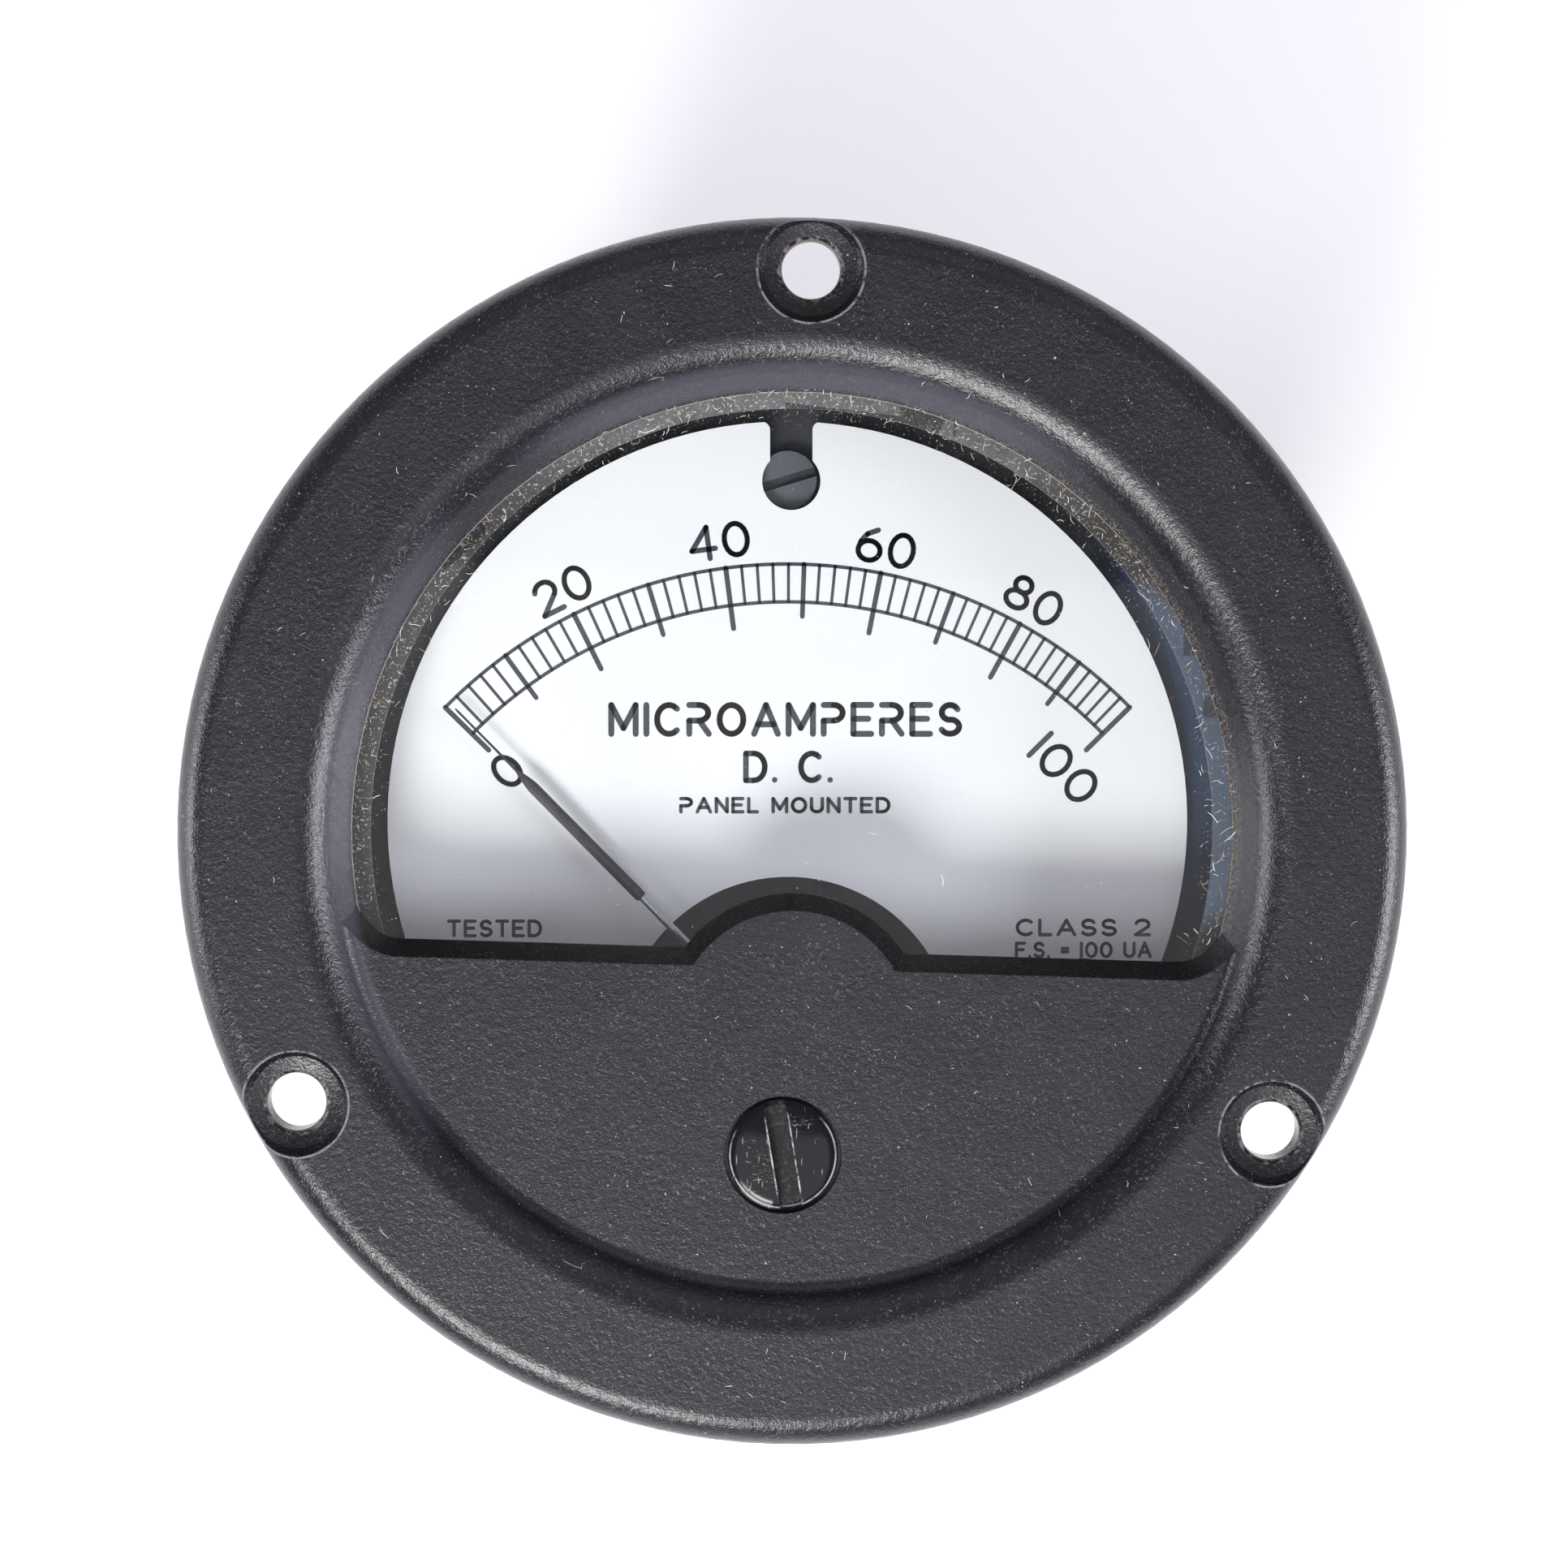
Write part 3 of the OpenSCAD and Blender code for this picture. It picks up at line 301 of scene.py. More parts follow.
def metal(name, dark, light, rough=0.3, metallic=1.0, grain=(1, 1, 1), tarnish=(0.12, 0.1, 0.07), worn=0.25):
    s = Mat(name, Metallic=metallic)
    lines = s.noise(9.0, 3, 0.6, stretch=grain)
    blotch = s.noise(0.9, 5, 0.65)
    tone = s.mix(s.step(lines, 0.35, 0.65), dark, light)
    tone = s.mix(s.mul(s.step(blotch, 0.5, 0.72), worn), tone, tarnish)
    s.set("Base Color", tone)
    s.set("Roughness", s.add(rough - 0.06, s.mul(s.noise(2.5, 4), 0.18)))
    s.bump(s.add(s.mul(lines, 0.5), s.noise(3.0, 2)), 0.006)
    return s.m


def phenolic():
    s = Mat("phenolic", Roughness=0.4)
    flow = s.noise(1.4, 6, 0.7, twist=1.5)
    speck = s.step(s.noise(9.0, 2), 0.62, 0.7)
    tone = s.mix(s.step(flow, 0.35, 0.7), (0.1, 0.038, 0.014), (0.19, 0.08, 0.032))
    s.set("Base Color", s.mix(s.mul(speck, 0.3), tone, (0.3, 0.17, 0.08)))
    s.set("Roughness", s.add(0.3, s.mul(flow, 0.25)))
    s.bump(s.noise(5.0, 4), 0.015)
    return s.m


def dial_paint():
    s = Mat("dial_paint", Roughness=0.4, Specular_IOR_Level=0.4)
    cloud = s.step(s.noise(0.09, 4, 0.55), 0.35, 0.7)
    tone = s.mix(cloud, (0.705, 0.708, 0.7), (0.735, 0.738, 0.728))
    # painted shade round the middle, where the light is strongest, and painted light toward the edge
    tone = s.mix(s.step(s.radius(0.0, 3.0), 6.0, 20.0), tone, (0.77, 0.77, 0.755))
    # painted light on the low part of the dial, against the shade that the lower panel casts there
    tone = s.mix(s.step(s.y, 0.5, -4.5), tone, (0.98, 0.97, 0.985))
    speck = s.step(s.noise(5.5, 2, 0.5), 0.735, 0.765)
    tone = s.mix(s.mul(speck, 0.35), tone, (0.45, 0.42, 0.38))
    # the cut edge of the plate and its darker underside
    tone = s.mix(s.step(s.z, DIAL_Z - 0.08, DIAL_Z - 0.02, 1, 0), tone, (0.3, 0.31, 0.33))
    s.set("Base Color", tone)
    s.set("Roughness", s.add(0.34, s.mul(s.noise(0.8, 3), 0.12)))
    s.bump(s.noise(1.6, 3), 0.01)
    return s.m


def ink():
    s = Mat("ink", Roughness=0.5)
    s.set("Base Color", s.mix(s.step(s.noise(3.0, 4, 0.6), 0.4, 0.7),
                              (0.02, 0.024, 0.032), (0.035, 0.04, 0.05)))
    s.set("Roughness", s.add(0.4, s.mul(s.noise(4.0, 2), 0.2)))
    s.bump(s.noise(8.0, 2), 0.004)
    return s.m


def glass():
    """Thin clear glass: transparent with a Fresnel sheen, and dust and a faint film that catch the light."""
    s = Mat("window_glass")
    nt = s.nt
    clear = nt.nodes.new("ShaderNodeBsdfTransparent")
    clear.inputs[0].default_value = (0.965, 0.975, 0.985, 1)
    shine = nt.nodes.new("ShaderNodeBsdfGlossy")
    shine.inputs["Roughness"].default_value = 0.03
    fres = nt.nodes.new("ShaderNodeFresnel")
    fres.inputs["IOR"].default_value = 1.45
    first = nt.nodes.new("ShaderNodeMixShader")
    geo = nt.nodes.new("ShaderNodeNewGeometry")
    front = s.sub(1.0, geo.outputs["Backfacing"])
    nt.links.new(s.mul(s.math("MINIMUM", fres.outputs[0], 0.6), front), first.inputs[0])
    nt.links.new(clear.outputs[0], first.inputs[1])
    nt.links.new(shine.outputs[0], first.inputs[2])
    dust = nt.nodes.new("ShaderNodeBsdfDiffuse")
    s.put(dust.inputs["Color"], s.mix(s.noise(2.0, 2), (0.55, 0.5, 0.42), (0.75, 0.75, 0.75)))
    speck = s.step(s.noise(6.5, 2, 0.5), 0.745, 0.775)
    film = s.mul(s.step(s.noise(0.35, 4), 0.45, 0.75), 0.012)
    edge = s.mul(s.step(s.radius(), 21.8, 24.0), s.step(s.noise(7.5, 2, 0.6), 0.64, 0.7))
    only_top = s.step(s.z, GLASS_Z - 0.02, GLASS_Z - 0.01)
    cover = s.mul(s.math("ADD", s.add(s.mul(speck, 0.55), film), s.mul(edge, 0.45), clamp=True), only_top)
    second = nt.nodes.new("ShaderNodeMixShader")
    nt.links.new(cover, second.inputs[0])
    nt.links.new(first.outputs[0], second.inputs[1])
    nt.links.new(dust.outputs[0], second.inputs[2])
    nt.links.new(second.outputs[0], nt.nodes["Material Output"].inputs[0])
    nt.nodes.remove(s.b)
    return s.m


def adjuster_plastic():
    s = Mat("adjuster_plastic", Roughness=0.12, Specular_IOR_Level=0.3)
    ax, ay = 0.0, -17.7
    a = math.radians(11)
    across = s.add(s.mul(s.sub(s.x, ax), math.cos(a)), s.mul(s.sub(s.y, ay), math.sin(a)))
    along = s.sub(s.mul(s.sub(s.y, ay), math.cos(a)), s.mul(s.sub(s.x, ax), math.sin(a)))
    slot = s.step(s.math("ABSOLUTE", across), 0.56, 0.6, 1, 0)
    # screwdriver marks: short strokes across the left half and at the right half's upper end
    strokes = s.step(s.noise(3.0, 4, 0.75, stretch=(0.5, 2.6, 0.3), twist=1.4), 0.585, 0.62)
    left = s.mul(s.band(across, -2.05, -0.75, 0.12), s.band(along, -1.5, 1.0, 0.35))
    right = s.mul(s.band(across, 0.7, 1.9, 0.1), s.band(along, 1.15, 1.9, 0.2))
    hair = s.mul(s.step(s.noise(1.6, 3, 0.5, stretch=(3.0, 0.5, 1)), 0.66, 0.68), 0.6)
    scratch = s.mul(s.math("MAXIMUM", s.mul(strokes, s.math("MAXIMUM", left, right)), hair), s.sub(1.0, slot))
    grime = s.mul(slot, s.step(s.noise(4.2, 5, 0.75), 0.5, 0.64))
    tone = s.mix(s.mul(scratch, 0.75), (0.006, 0.0068, 0.008), (0.3, 0.3, 0.31))
    tone = s.mix(s.mul(grime, 0.6), tone, (0.075, 0.074, 0.078))
    # painted highlight: a thin bright arc on the head's rim, broken up by noise
    rim_highlight = s.mul(s.band(s.radius(ax, ay), 2.88, 2.96, 0.03), s.step(along, 1.9, 1.2))
    tone = s.mix(s.mul(rim_highlight, s.step(s.noise(1.2, 4, 0.7), 0.3, 0.55)), tone, (0.3, 0.3, 0.33))
    # painted highlight along the slot's edges, in patches
    edge = s.mul(s.band(s.math("ABSOLUTE", across), 0.58, 0.68, 0.03), s.step(s.z, 1.85, 1.93))
    tone = s.mix(s.mul(edge, s.step(s.noise(1.8, 4, 0.7), 0.35, 0.6)), tone, (0.4, 0.4, 0.42))
    s.set("Base Color", tone)
    s.set("Roughness", s.add(s.add(0.07, s.mul(s.noise(1.3, 4), 0.1)),
                             s.mul(s.math("MAXIMUM", scratch, slot), 0.35)))
    s.set("Specular IOR Level", s.step(s.radius(ax, ay), 2.7, 2.8, 0.3, 0.08))
    s.bump(s.add(s.mul(scratch, -0.6), s.mul(s.noise(5.0, 4), 0.08)), 0.02)
    return s.m


def pointer_black():
    s = Mat("pointer_paint", Roughness=0.42)
    s.set("Base Color", s.mix(s.step(s.noise(3.0, 4), 0.4, 0.7), (0.012, 0.012, 0.014), (0.03, 0.03, 0.033)))
    s.set("Roughness", s.add(0.34, s.mul(s.noise(5.0, 3), 0.2)))
    s.bump(s.noise(9.0, 3), 0.006)
    return s.m


def enamelled_wire():
    s = Mat("enamelled_wire", Metallic=0.6, Roughness=0.3)
    wave = s.math("SINE", s.mul(s.add(s.x, s.y), 38.0))
    s.set("Base Color", s.mix(s.step(wave, -0.6, 0.9), (0.16, 0.045, 0.015), (0.42, 0.15, 0.06)))
    s.set("Roughness", s.add(0.25, s.mul(s.noise(4.0, 3), 0.2)))
    s.bump(wave, 0.02)
    return s.m


def plastic(name, dark, light, rough=0.4):
    s = Mat(name)
    s.set("Base Color", s.mix(s.step(s.noise(1.6, 5), 0.35, 0.7), dark, light))
    s.set("Roughness", s.add(rough, s.mul(s.noise(3.0, 3), 0.15)))
    s.bump(s.noise(4.0, 3), 0.01)
    return s.m


def lint(name, a, b):
    s = Mat(name, Roughness=0.9)
    s.set("Base Color", s.mix(s.step(s.noise(1.1, 2), 0.4, 0.6), a, b))
    s.bump(s.noise(12.0, 2), 0.004)
    return s.m


def floor_paper():
    s = Mat("floor_paper", Roughness=0.75, Specular_IOR_Level=0.2)
    s.set("Base Color", s.mix(s.noise(0.01, 4), (0.9, 0.9, 0.92), (0.93, 0.93, 0.94)))
    s.set("Roughness", s.add(0.7, s.mul(s.noise(0.2, 3), 0.1)))
    s.bump(s.noise(1.2, 4), 0.01)
    return s.m


MATS = {
    "panel_paint": panel_paint(), "case_paint": case_paint(), "window_glass": glass(),
    "black_rubber": rubber("black_rubber", (0.012, 0.012, 0.013), (0.03, 0.03, 0.032)),
    "grey_rubber": gasket(),
    "zinc_steel": metal("zinc_steel", (0.36, 0.37, 0.37), (0.55, 0.55, 0.53), 0.32),
    "phenolic": phenolic(),
    "plated_brass": metal("plated_brass", (0.6, 0.56, 0.46), (0.74, 0.7, 0.6), 0.22, tarnish=(0.25, 0.2, 0.11)),
    "brass": metal("brass", (0.5, 0.36, 0.15), (0.72, 0.54, 0.26), 0.28, tarnish=(0.16, 0.1, 0.04)),
    "blackened_steel": blackened(),
    "dial_paint": dial_paint(),
    "magnet_alloy": metal("magnet_alloy", (0.12, 0.12, 0.12), (0.2, 0.2, 0.195), 0.5, 0.9),
    "soft_iron": metal("soft_iron", (0.26, 0.26, 0.26), (0.4, 0.39, 0.38), 0.36),
    "jewel": plastic("jewel", (0.35, 0.01, 0.03), (0.6, 0.03, 0.08), 0.05),
    "red_insulation": plastic("red_insulation", (0.3, 0.02, 0.015), (0.42, 0.04, 0.03)),
    "black_insulation": plastic("black_insulation", (0.012, 0.012, 0.012), (0.03, 0.03, 0.03)),
    "aluminium": metal("aluminium", (0.42, 0.43, 0.45), (0.6, 0.6, 0.62), 0.32, tarnish=(0.3, 0.3, 0.31)),
    "enamelled_wire": enamelled_wire(),
    "steel": metal("steel", (0.5, 0.5, 0.52), (0.68, 0.68, 0.7), 0.2),
    "pointer_paint": pointer_black(),
    "spring_bronze": metal("spring_bronze", (0.46, 0.28, 0.12), (0.66, 0.44, 0.2), 0.25),
    "adjuster_plastic": adjuster_plastic(),
}
for part in frame["record"]["subparts"]:
    o = NODES[part["node"]]
    o.data.materials.clear()
    o.data.materials.append(MATS[part["material_slot"]])
INK = ink()
LINT = [lint("lint_tan", (0.5, 0.36, 0.2), (0.72, 0.6, 0.42)),
        lint("lint_white", (0.7, 0.7, 0.7), (0.9, 0.9, 0.9)),
        lint("lint_brown", (0.3, 0.14, 0.07), (0.45, 0.25, 0.12))]


# ---------------------------------------------------------------- mesh helpers
class Mesh:
    def __init__(self):
        self.v, self.f, self.mi = [], [], []

    def face(self, idx, m=0):
        self.f.append(idx)
        self.mi.append(m)

    def prism(self, pts, z0, z1, m=0):
        """Closed prism over an outline given anticlockwise, in millimetres."""
        n, base = len(pts), len(self.v)
        self.v += [(x, y, z0) for x, y in pts] + [(x, y, z1) for x, y in pts]
        self.face([base + i for i in reversed(range(n))], m)
        self.face([base + n + i for i in range(n)], m)
        for i in range(n):
            j = (i + 1) % n
            self.face([base + i, base + j, base + n + j, base + n + i], m)

    def stroke(self, a, b, w, z0, z1, round_=5):
        """A straight pen stroke with round ends."""
        dx, dy = b[0] - a[0], b[1] - a[1]
        t = math.atan2(dy, dx)
        pts = []
        for c, start in ((b, t - math.pi / 2), (a, t + math.pi / 2)):
            for i in range(round_ + 1):
                u = start + math.pi * i / round_
                pts.append((c[0] + w / 2 * math.cos(u), c[1] + w / 2 * math.sin(u)))
        self.prism(pts, z0, z1)

    def line(self, pts, w, z0, z1):
        for a, b in zip(pts, pts[1:]):
            self.stroke(a, b, w, z0, z1)

    def loft(self, rings, m=0, caps=True):
        n, base = len(rings[0]), len(self.v)
        for r in rings:
            self.v += [tuple(p) for p in r]
        for k in range(len(rings) - 1):
            for i in range(n):
                j = (i + 1) % n
                a, b = base + k * n, base + (k + 1) * n
                self.face([a + i, a + j, b + j, b + i], m)
        if caps:
            self.face([base + i for i in reversed(range(n))], m)
            self.face([base + (len(rings) - 1) * n + i for i in range(n)], m)

    def build(self, name, mats, body, smooth=False, matrix=None):
        me = bpy.data.meshes.new(name)
        v = [Vector(p) * MM for p in self.v]
        if matrix is not None:
            v = [matrix @ p for p in v]
        me.from_pydata(v, [], self.f)
        for m in mats:
            me.materials.append(m)
        me.polygons.foreach_set("material_index", self.mi)
        me.polygons.foreach_set("use_smooth", [smooth] * len(self.f))
        me.validate()
        me.update()
        o = bpy.data.objects.new(name, me)
        bpy.context.scene.collection.objects.link(o)
        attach(o, body)
        return o


def arc(cx, cy, rx, ry, a0, a1, n=12):
    return [(cx + rx * math.cos(math.radians(a0 + (a1 - a0) * i / n)),
             cy + ry * math.sin(math.radians(a0 + (a1 - a0) * i / n))) for i in range(n + 1)]


BOWL = [(0.0, 0.46), (0.34, 0.46)] + arc(0.34, 0.73, 0.3, 0.27, -90, 90, 8) + [(0.0, 1.0)]
GLYPHS = {
    "A": (0.8, [[(0, 0), (0.4, 1), (0.8, 0)], [(0.14, 0.33), (0.66, 0.33)]]),
    "C": (0.72, [arc(0.4, 0.5, 0.4, 0.5, 48, 312, 16)]),
    "D": (0.7, [[(0, 0), (0, 1), (0.3, 1)] + arc(0.3, 0.5, 0.4, 0.5, 90, -90, 10) + [(0, 0)]]),
    "E": (0.6, [[(0.6, 1), (0, 1), (0, 0), (0.6, 0)], [(0, 0.52), (0.5, 0.52)]]),
    "F": (0.58, [[(0.58, 1), (0, 1), (0, 0)], [(0, 0.52), (0.48, 0.52)]]),
    "I": (0.0, [[(0, 0), (0, 1)]]),
    "L": (0.52, [[(0, 1), (0, 0), (0.52, 0)]]),
    "M": (0.82, [[(0, 0), (0, 1), (0.41, 0.2), (0.82, 1), (0.82, 0)]]),
    "N": (0.66, [[(0, 0), (0, 1), (0.66, 0), (0.66, 1)]]),
    "O": (0.8, [arc(0.4, 0.5, 0.4, 0.5, 90, 450, 20)]),
    "P": (0.64, [[(0, 0), *BOWL]]),
    "R": (0.66, [[(0, 0), *BOWL], [(0.34, 0.46), (0.66, 0)]]),
    "S": (0.62, [arc(0.31, 0.74, 0.28, 0.26, 25, 270, 10) + arc(0.31, 0.25, 0.31, 0.25, 80, -155, 10)]),
    "T": (0.66, [[(0, 1), (0.66, 1)], [(0.33, 1), (0.33, 0)]]),
    "U": (0.66, [[(0, 1), (0, 0.32)] + arc(0.33, 0.32, 0.33, 0.32, 180, 360, 10) + [(0.66, 1)]]),
    "0": (0.7, [arc(0.35, 0.5, 0.35, 0.5, 90, 450, 20)]),
    "1": (0.0, [[(0, 0), (0, 1)]]),
    "2": (0.66, [arc(0.33, 0.7, 0.31, 0.3, 165, -38, 10) + [(0, 0), (0.66, 0)]]),
    "4": (0.72, [[(0.52, 0), (0.52, 1), (0, 0.3), (0.72, 0.3)]]),
    "6": (0.68, [arc(0.34, 0.31, 0.34, 0.31, 180, 540, 18), [(0, 0.31), (0.04, 0.55), (0.2, 0.82), (0.5, 1.0)]]),
    "8": (0.68, [arc(0.34, 0.76, 0.26, 0.24, -90, 270, 16), arc(0.34, 0.27, 0.34, 0.27, 90, 450, 18)]),
    ".": (0.0, [[(0, 0.02), (0.001, 0.02)]]),
    "=": (0.4, [[(0, 0.35), (0.4, 0.35)], [(0, 0.6), (0.4, 0.6)]]),
    " ": (0.25, []),
}


def letters(mesh, text, cx, cy, width, height, pen, turn, gap=0.36, z0=0.0, z1=0.012):
    """Text of pen strokes, its box centred on (cx, cy) and width by height over all, turned about its centre."""
    h = height - pen
    span = sum(GLYPHS[c][0] for c in text) + gap * (len(text) - 1)
    k = (width - pen) / span if span > 0 else h
    at = -(width - pen) / 2
    c, s = math.cos(turn), math.sin(turn)
    for ch in text:
        w, strokes = GLYPHS[ch]
        for st in strokes:
            pts = []
            for x, y in st:
                lx, ly = at + x * k, (y - 0.5) * h
                pts.append((cx + lx * c - ly * s, cy + lx * s + ly * c))
            mesh.line(pts, pen, DIAL_Z + z0, DIAL_Z + z1)
        at += (w + gap) * k


def ring_arc(mesh, c, r, w, a0, a1, z0, z1, n=96):
    """Printed line along a circle; angles are clockwise from straight up, in degrees."""
    inner, outer = [], []
    for i in range(n + 1):
        t = math.radians(a0 + (a1 - a0) * i / n)
        for rr, dst in ((r - w / 2, inner), (r + w / 2, outer)):
            dst.append((c[0] + rr * math.sin(t), c[1] + rr * math.cos(t)))
    for i in range(n):
        mesh.prism([inner[i], inner[i + 1], outer[i + 1], outer[i]], z0, z1)


# ---------------------------------------------------------------- dial print
def scale_angle(v):
    return -47.2 + 90.8 * v + v * (1 - v) * (3.8 + 8 * v)


def dial_print():
    m = Mesh()
    z0, z1 = DIAL_Z, DIAL_Z + 0.012
    for r in (27.25, 25.11):
        ring_arc(m, PIVOT, r, 0.2, scale_angle(0), scale_angle(1), z0, z1)
    for i in range(51):
        v = i / 50
        t = math.radians(scale_angle(v))
        low, w = 25.11, 0.17
        if i % 10 == 0:
            low, w = 23.8, 0.29
        elif i % 5 == 0:
            low, w = 24.3, 0.27
        d = Vector((math.sin(t), math.cos(t)))
        m.stroke(PIVOT + d * low, PIVOT + d * 27.25, w, z0, z1)
    for text, x, y, width in (("0", -16.19, 2.58, 1.55), ("20", -13.36, 12.92, 3.4), ("40", -4.58, 15.95, 3.5),
                              ("60", 4.88, 15.89, 3.4), ("80", 13.35, 13.17, 3.4), ("100", 15.43, 3.65, 4.3)):
        turn = -math.atan2(x - PIVOT.x, y - PIVOT.y)
        letters(m, text, x, y, width, 2.08, 0.3, turn, gap=0.3)
    for text, x, y, width, height, pen in (
        ("MICROAMPERES", -0.52, 5.99, 20.07, 1.98, 0.34), ("D. C.", -0.28, 3.3, 5.1, 1.85, 0.32),
        ("PANEL MOUNTED", -0.39, 1.12, 12.0, 0.95, 0.2), ("TESTED", -16.65, -6.4, 5.4, 1.02, 0.19),
        ("CLASS 2", 16.8, -5.32, 7.7, 1.02, 0.19), ("F.S. = 100 UA", 16.85, -6.6, 7.8, 0.95, 0.18),
    ):
        letters(m, text, x, y, width, height, pen, TURN)
    m.build("dial_print", [INK], "case")


# ---------------------------------------------------------------- pointer
def pointer_needle():
    """A painted lance with a raised ridge, its fine tip, and the bare flattened tube that carries it."""
    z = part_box("pointer")
    z0, z1 = z[0].z / MM, z[1].z / MM
    zm = (z0 + z1) / 2
    turn = Matrix.Translation(Vector((PIVOT.x, PIVOT.y, 0)) * MM) @ Matrix.Rotation(REST, 4, "Z")

    def ring(y, w, top, bottom=None):
        b = z0 if bottom is None else bottom
        return [(-w, y, zm), (-w * 0.62, y, b + 0.01), (w * 0.62, y, b + 0.01), (w, y, zm),
                (w * 0.3, y, top), (-w * 0.3, y, top)]

    m = Mesh()
    m.loft([ring(11.72, 0.12, zm + 0.06), ring(11.85, 0.31, z1 - 0.03),
            ring(12.1, 0.334, z1), ring(16, 0.334, z1),
            ring(20.6, 0.33, z1), ring(21.2, 0.24, z1 - 0.02), ring(21.9, 0.08, z1 - 0.06),
            ring(24, 0.07, z1 - 0.07), ring(26.6, 0.065, z1 - 0.07), ring(26.8, 0.03, z1 - 0.09)])
    lance = m.build("pointer_lance", [MATS["pointer_paint"]], "moving_coil", False, turn)
    b = Mesh()
    b.loft([ring(1.2, 0.23, z1 - 0.02), ring(4, 0.23, z1 - 0.02),
            ring(9, 0.23, z1 - 0.02), ring(11.8, 0.2, z1 - 0.04)])
    hub = []
    for r, zz in ((0.46, z0), (1.3, z0), (1.35, z0 + 0.05), (1.35, z1 - 0.05), (1.3, z1), (0.46, z1)):
        hub.append([(r * math.cos(i * math.pi / 18), r * math.sin(i * math.pi / 18), zz) for i in range(36)])
    b.loft(hub + [hub[0]], caps=False)
    b.build("pointer_root", [MATS["aluminium"]], "moving_coil", False, turn)
    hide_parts("pointer")


# ---------------------------------------------------------------- threaded terminal studs
def threaded_studs():
    lo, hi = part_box("terminal_studs")
    r, pitch, depth = 2.4, 0.79, 0.36
    head_r, head_t = 3.6, 1.4
    top = hi.z / MM
    low = lo.z / MM
    run_top = top - head_t
    m = Mesh()
    for cx in (-12.7, 12.7):
        seg = 40
        turns = (run_top - 2.6 - low) / pitch
        rings = []
        steps = int(turns * 6)
        for k in range(steps + 1):
            z = low + (run_top - 2.6 - low) * k / steps
            ring = []
            for i in range(seg):
                a = 2 * math.pi * i / seg
                phase = ((z - low) / pitch - a / (2 * math.pi)) % 1.0
                cut = depth * (1 - abs(2 * phase - 1)) ** 0.9
                end = min(1.0, (z - low) / 0.5)
                rr = r - cut - 0.5 * (1 - end)
                ring.append((cx + rr * math.cos(a), rr * math.sin(a), z))
            rings.append(ring)
        for rr, z in ((r, run_top - 2.55), (r, run_top), (head_r, run_top),
                      (head_r, top - 0.25), (head_r - 0.25, top)):
            rings.append([(cx + rr * math.cos(2 * math.pi * i / seg), rr * math.sin(2 * math.pi * i / seg), z)
                          for i in range(seg)])
        m.loft(rings)
    o = m.build("stud_threads", [MATS["plated_brass"]], "case", False)
    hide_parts("terminal_studs")


# ---------------------------------------------------------------- lint and dust
def fibre(m, start, heading, length, r, lift, mat, top):
    """A thin curled fibre lying on a surface whose height is top(x, y)."""
    n = max(2, int(length / 0.18)) if length > 0.14 else 1
    pts, x, y, a = [], start[0], start[1], heading
    bend = rng.uniform(-1.4, 1.4)
    for i in range(n + 1):
        pts.append((x, y, min(top(x, y) + r + lift * math.sin(math.pi * i / n), TOP_Z + 0.02)))
        x += length / n * math.cos(a)
        y += length / n * math.sin(a)
        a += (bend + rng.uniform(-0.9, 0.9)) / n
    rings = []
    for i, p in enumerate(pts):
        q, s = pts[min(i + 1, n)], pts[max(i - 1, 0)]
        t = math.atan2(q[1] - s[1], q[0] - s[0]) + math.pi / 2
        k = r * (0.5 if i in (0, n) else 1)
        rings.append([(p[0] + k * math.cos(t), p[1] + k * math.sin(t), p[2]),
                      (p[0] - k * 0.5 * math.cos(t), p[1] - k * 0.5 * math.sin(t), p[2] + k * 0.87),
                      (p[0] - k * 0.5 * math.cos(t), p[1] - k * 0.5 * math.sin(t), p[2] - k * 0.87)])
    m.loft(rings, mat)


def surface(x, y):
    """Height of the flange's front or of the glass."""
    r = math.hypot(x, y)
    if r > 32:
        return TOP_Z - (r - 32) * 0.6
    wall = GLASS_Z + 0.13 + (r - 24.35) * FUNNEL_RISE
    crest = TOP_Z - CREST_R + math.sqrt(max(0, CREST_R ** 2 - max(0, FLAT_R - r) ** 2))
    return max(PANEL_Z if y < -7.3 else GLASS_Z, min(wall, crest))


def dust():
    m = Mesh()
    for _ in range(900):
        # thickest along the glass edge, more at the right than at the left
        a = rng.choice([rng.uniform(-14, 75), rng.uniform(-14, 75),
                        rng.uniform(75, 120), rng.uniform(120, 194)])
        r = rng.gauss(23.85, 0.5)
        x, y = r * math.cos(math.radians(a)), r * math.sin(math.radians(a))
        kind = rng.random()
        small, mid, long = (0.04, 0.13), (0.15, 0.5), (0.5, 1.1)
        size = rng.uniform(*(small if kind < 0.6 else mid if kind < 0.95 else long))
        heading, thick, lift = rng.uniform(0, 6.3), rng.uniform(0.01, 0.019), rng.uniform(0, 0.04)
        if y < -6.2 or r > 25.2:
            continue
        fibre(m, (x, y), heading, size, thick, lift, rng.choice((0, 0, 1, 1, 2)), surface)
    for _ in range(900):
        x, y = rng.uniform(-33, 33), rng.uniform(-33, 33)
        r = math.hypot(x, y)
        kind = rng.random()
        small, mid, long = (0.04, 0.12), (0.15, 0.5), (0.6, 1.3)
        size = rng.uniform(*(small if kind < 0.82 else mid if kind < 0.985 else long))
        heading, thick, lift = rng.uniform(0, 6.3), rng.uniform(0.009, 0.016), rng.uniform(0, 0.05)
        if r > 32 or min(math.hypot(x - hx, y - hy) for hx, hy in HOLES) < 3.3 or math.hypot(x, y + 17.7) < 3.4:
            continue
        if -8.2 < y < -3 and r < 25:
            continue
        fibre(m, (x, y), heading, size, thick, lift, rng.choice((0, 1, 1)), surface)
    m.build("lint", LINT, "case")


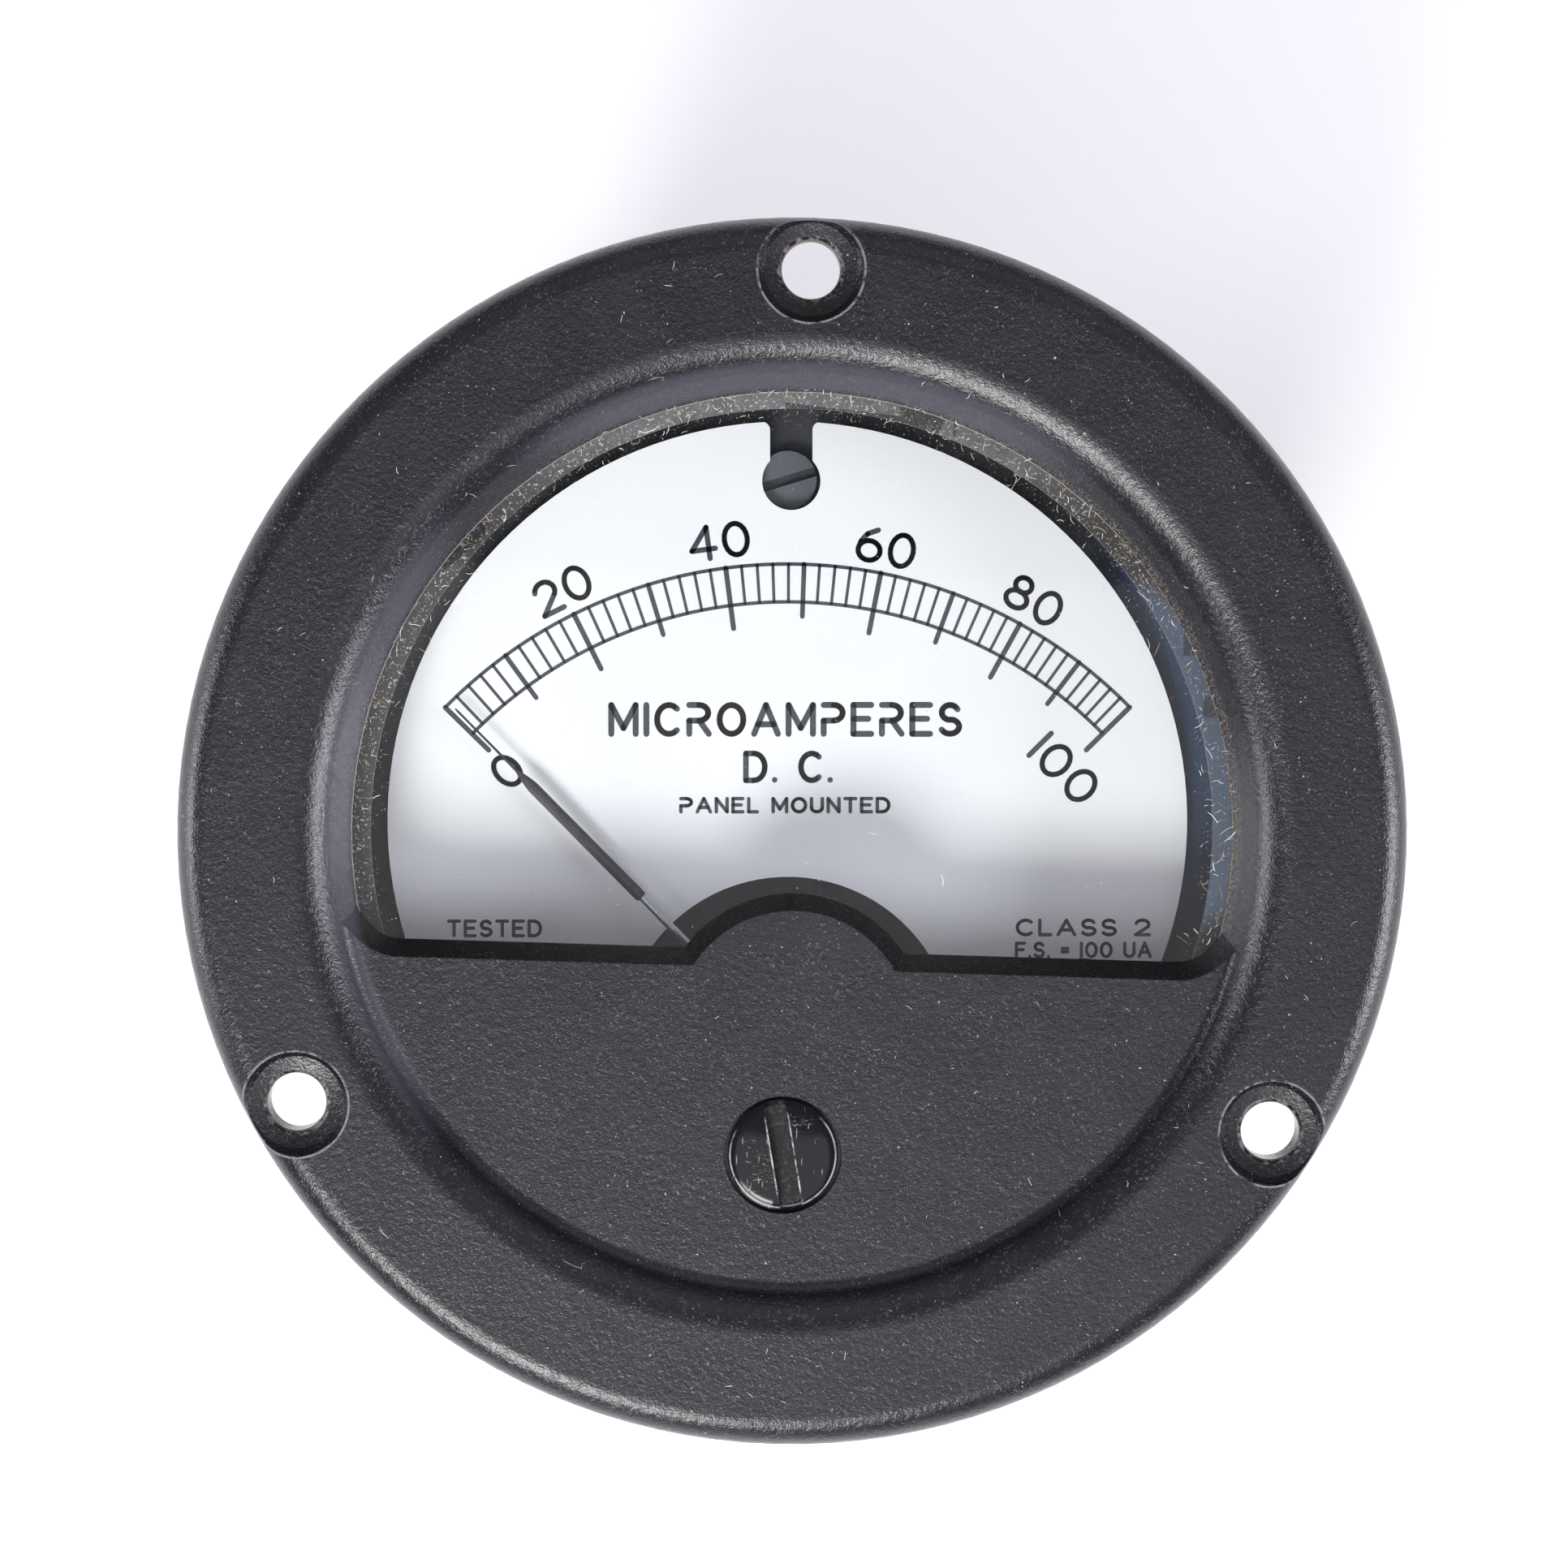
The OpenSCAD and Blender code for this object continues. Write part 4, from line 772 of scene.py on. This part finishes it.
def soften(name, width, angle=35, seg=2):
    """A fine bevel on a node's machined edges."""
    o = NODES[name]
    w = o.modifiers.new("weld", "WELD")
    w.merge_threshold = 1e-6
    b = o.modifiers.new("edge", "BEVEL")
    b.width, b.segments, b.limit_method = width * MM, seg, "ANGLE"
    b.angle_limit = math.radians(angle)
    b.harden_normals = False


dial_print()
pointer_needle()
threaded_studs()
dust()
for n, w in (("clamp_nuts", 0.25), ("terminal_nuts", 0.25), ("flat_washers", 0.08), ("lock_washers", 0.08),
             ("outer_insulators", 0.3), ("frame_screws", 0.07), ("zero_adjuster", 0.12)):
    soften(n, w)

# ---------------------------------------------------------------- floor, light, camera
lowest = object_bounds()[0][2]
me = bpy.data.meshes.new("floor")
S = 3.0
me.from_pydata([(-S, -S, lowest), (S, -S, lowest), (S, S, lowest), (-S, S, lowest)], [], [(0, 1, 2, 3)])
me.materials.append(floor_paper())
floor = bpy.data.objects.new("floor", me)
bpy.context.scene.collection.objects.link(floor)


def softbox(name, at, size, power, colour=(1, 1, 1), aim=(0, 0, 0)):
    d = bpy.data.lights.new(name, "AREA")
    d.shape = "RECTANGLE"
    d.size, d.size_y = size
    d.energy = power
    d.color = colour
    o = bpy.data.objects.new(name, d)
    o.location = at
    o.rotation_euler = (Vector(aim) - Vector(at)).to_track_quat("-Z", "Y").to_euler()
    bpy.context.scene.collection.objects.link(o)


softbox("front_box", (-0.2, -0.5, 0.58), (0.34, 0.24), 7.2, (1.0, 0.99, 0.98))
softbox("left_box", (-0.68, -0.05, 0.24), (0.3, 0.26), 2.9, (0.95, 0.94, 1.0))
softbox("right_box", (0.66, -0.1, 0.33), (0.32, 0.34), 5.2, (0.95, 0.94, 1.0))
softbox("overhead", (0.0, -0.34, 0.9), (0.9, 0.72), 2.5, (0.99, 0.97, 1.0))
softbox("back_fill", (0.1, 0.6, 0.55), (1.0, 0.6), 0.9, (0.98, 0.96, 1.0))
softbox("front_low", (0.0, -0.55, 0.06), (0.5, 0.2), 0.3, (0.97, 0.95, 1.0))
softbox("left_low", (-0.55, 0.0, 0.06), (0.5, 0.2), 0.3, (0.92, 0.9, 1.0))
softbox("right_low", (0.55, 0.0, 0.06), (0.5, 0.2), 0.25, (0.9, 0.88, 1.0))

world = bpy.data.worlds.new("studio")
world.use_nodes = True
bg = world.node_tree.nodes["Background"]
bg.inputs[0].default_value = (0.9, 0.9, 0.97, 1)
bg.inputs[1].default_value = 0.22
bpy.context.scene.world = world

cam_data = bpy.data.cameras.new("camera")
cam_data.sensor_width = 36
cam_data.lens = 109.45
cam_data.clip_start = 0.01
cam_data.clip_end = 50
cam = bpy.data.objects.new("camera", cam_data)
look = (Matrix.Rotation(math.radians(-1.77), 3, "Z") @ Matrix.Rotation(math.radians(0.71), 3, "Y")
        @ Matrix.Rotation(math.radians(3.49), 3, "X"))
cam.matrix_world = Matrix.Translation((-0.00383, 0.01879, 0.26 + TOP_Z * MM)) @ look.transposed().to_4x4()
bpy.context.scene.collection.objects.link(cam)
bpy.context.scene.camera = cam
bpy.context.scene.view_settings.view_transform = "Standard"
bpy.context.scene.view_settings.look = "None"

bpy.context.view_layer.update()
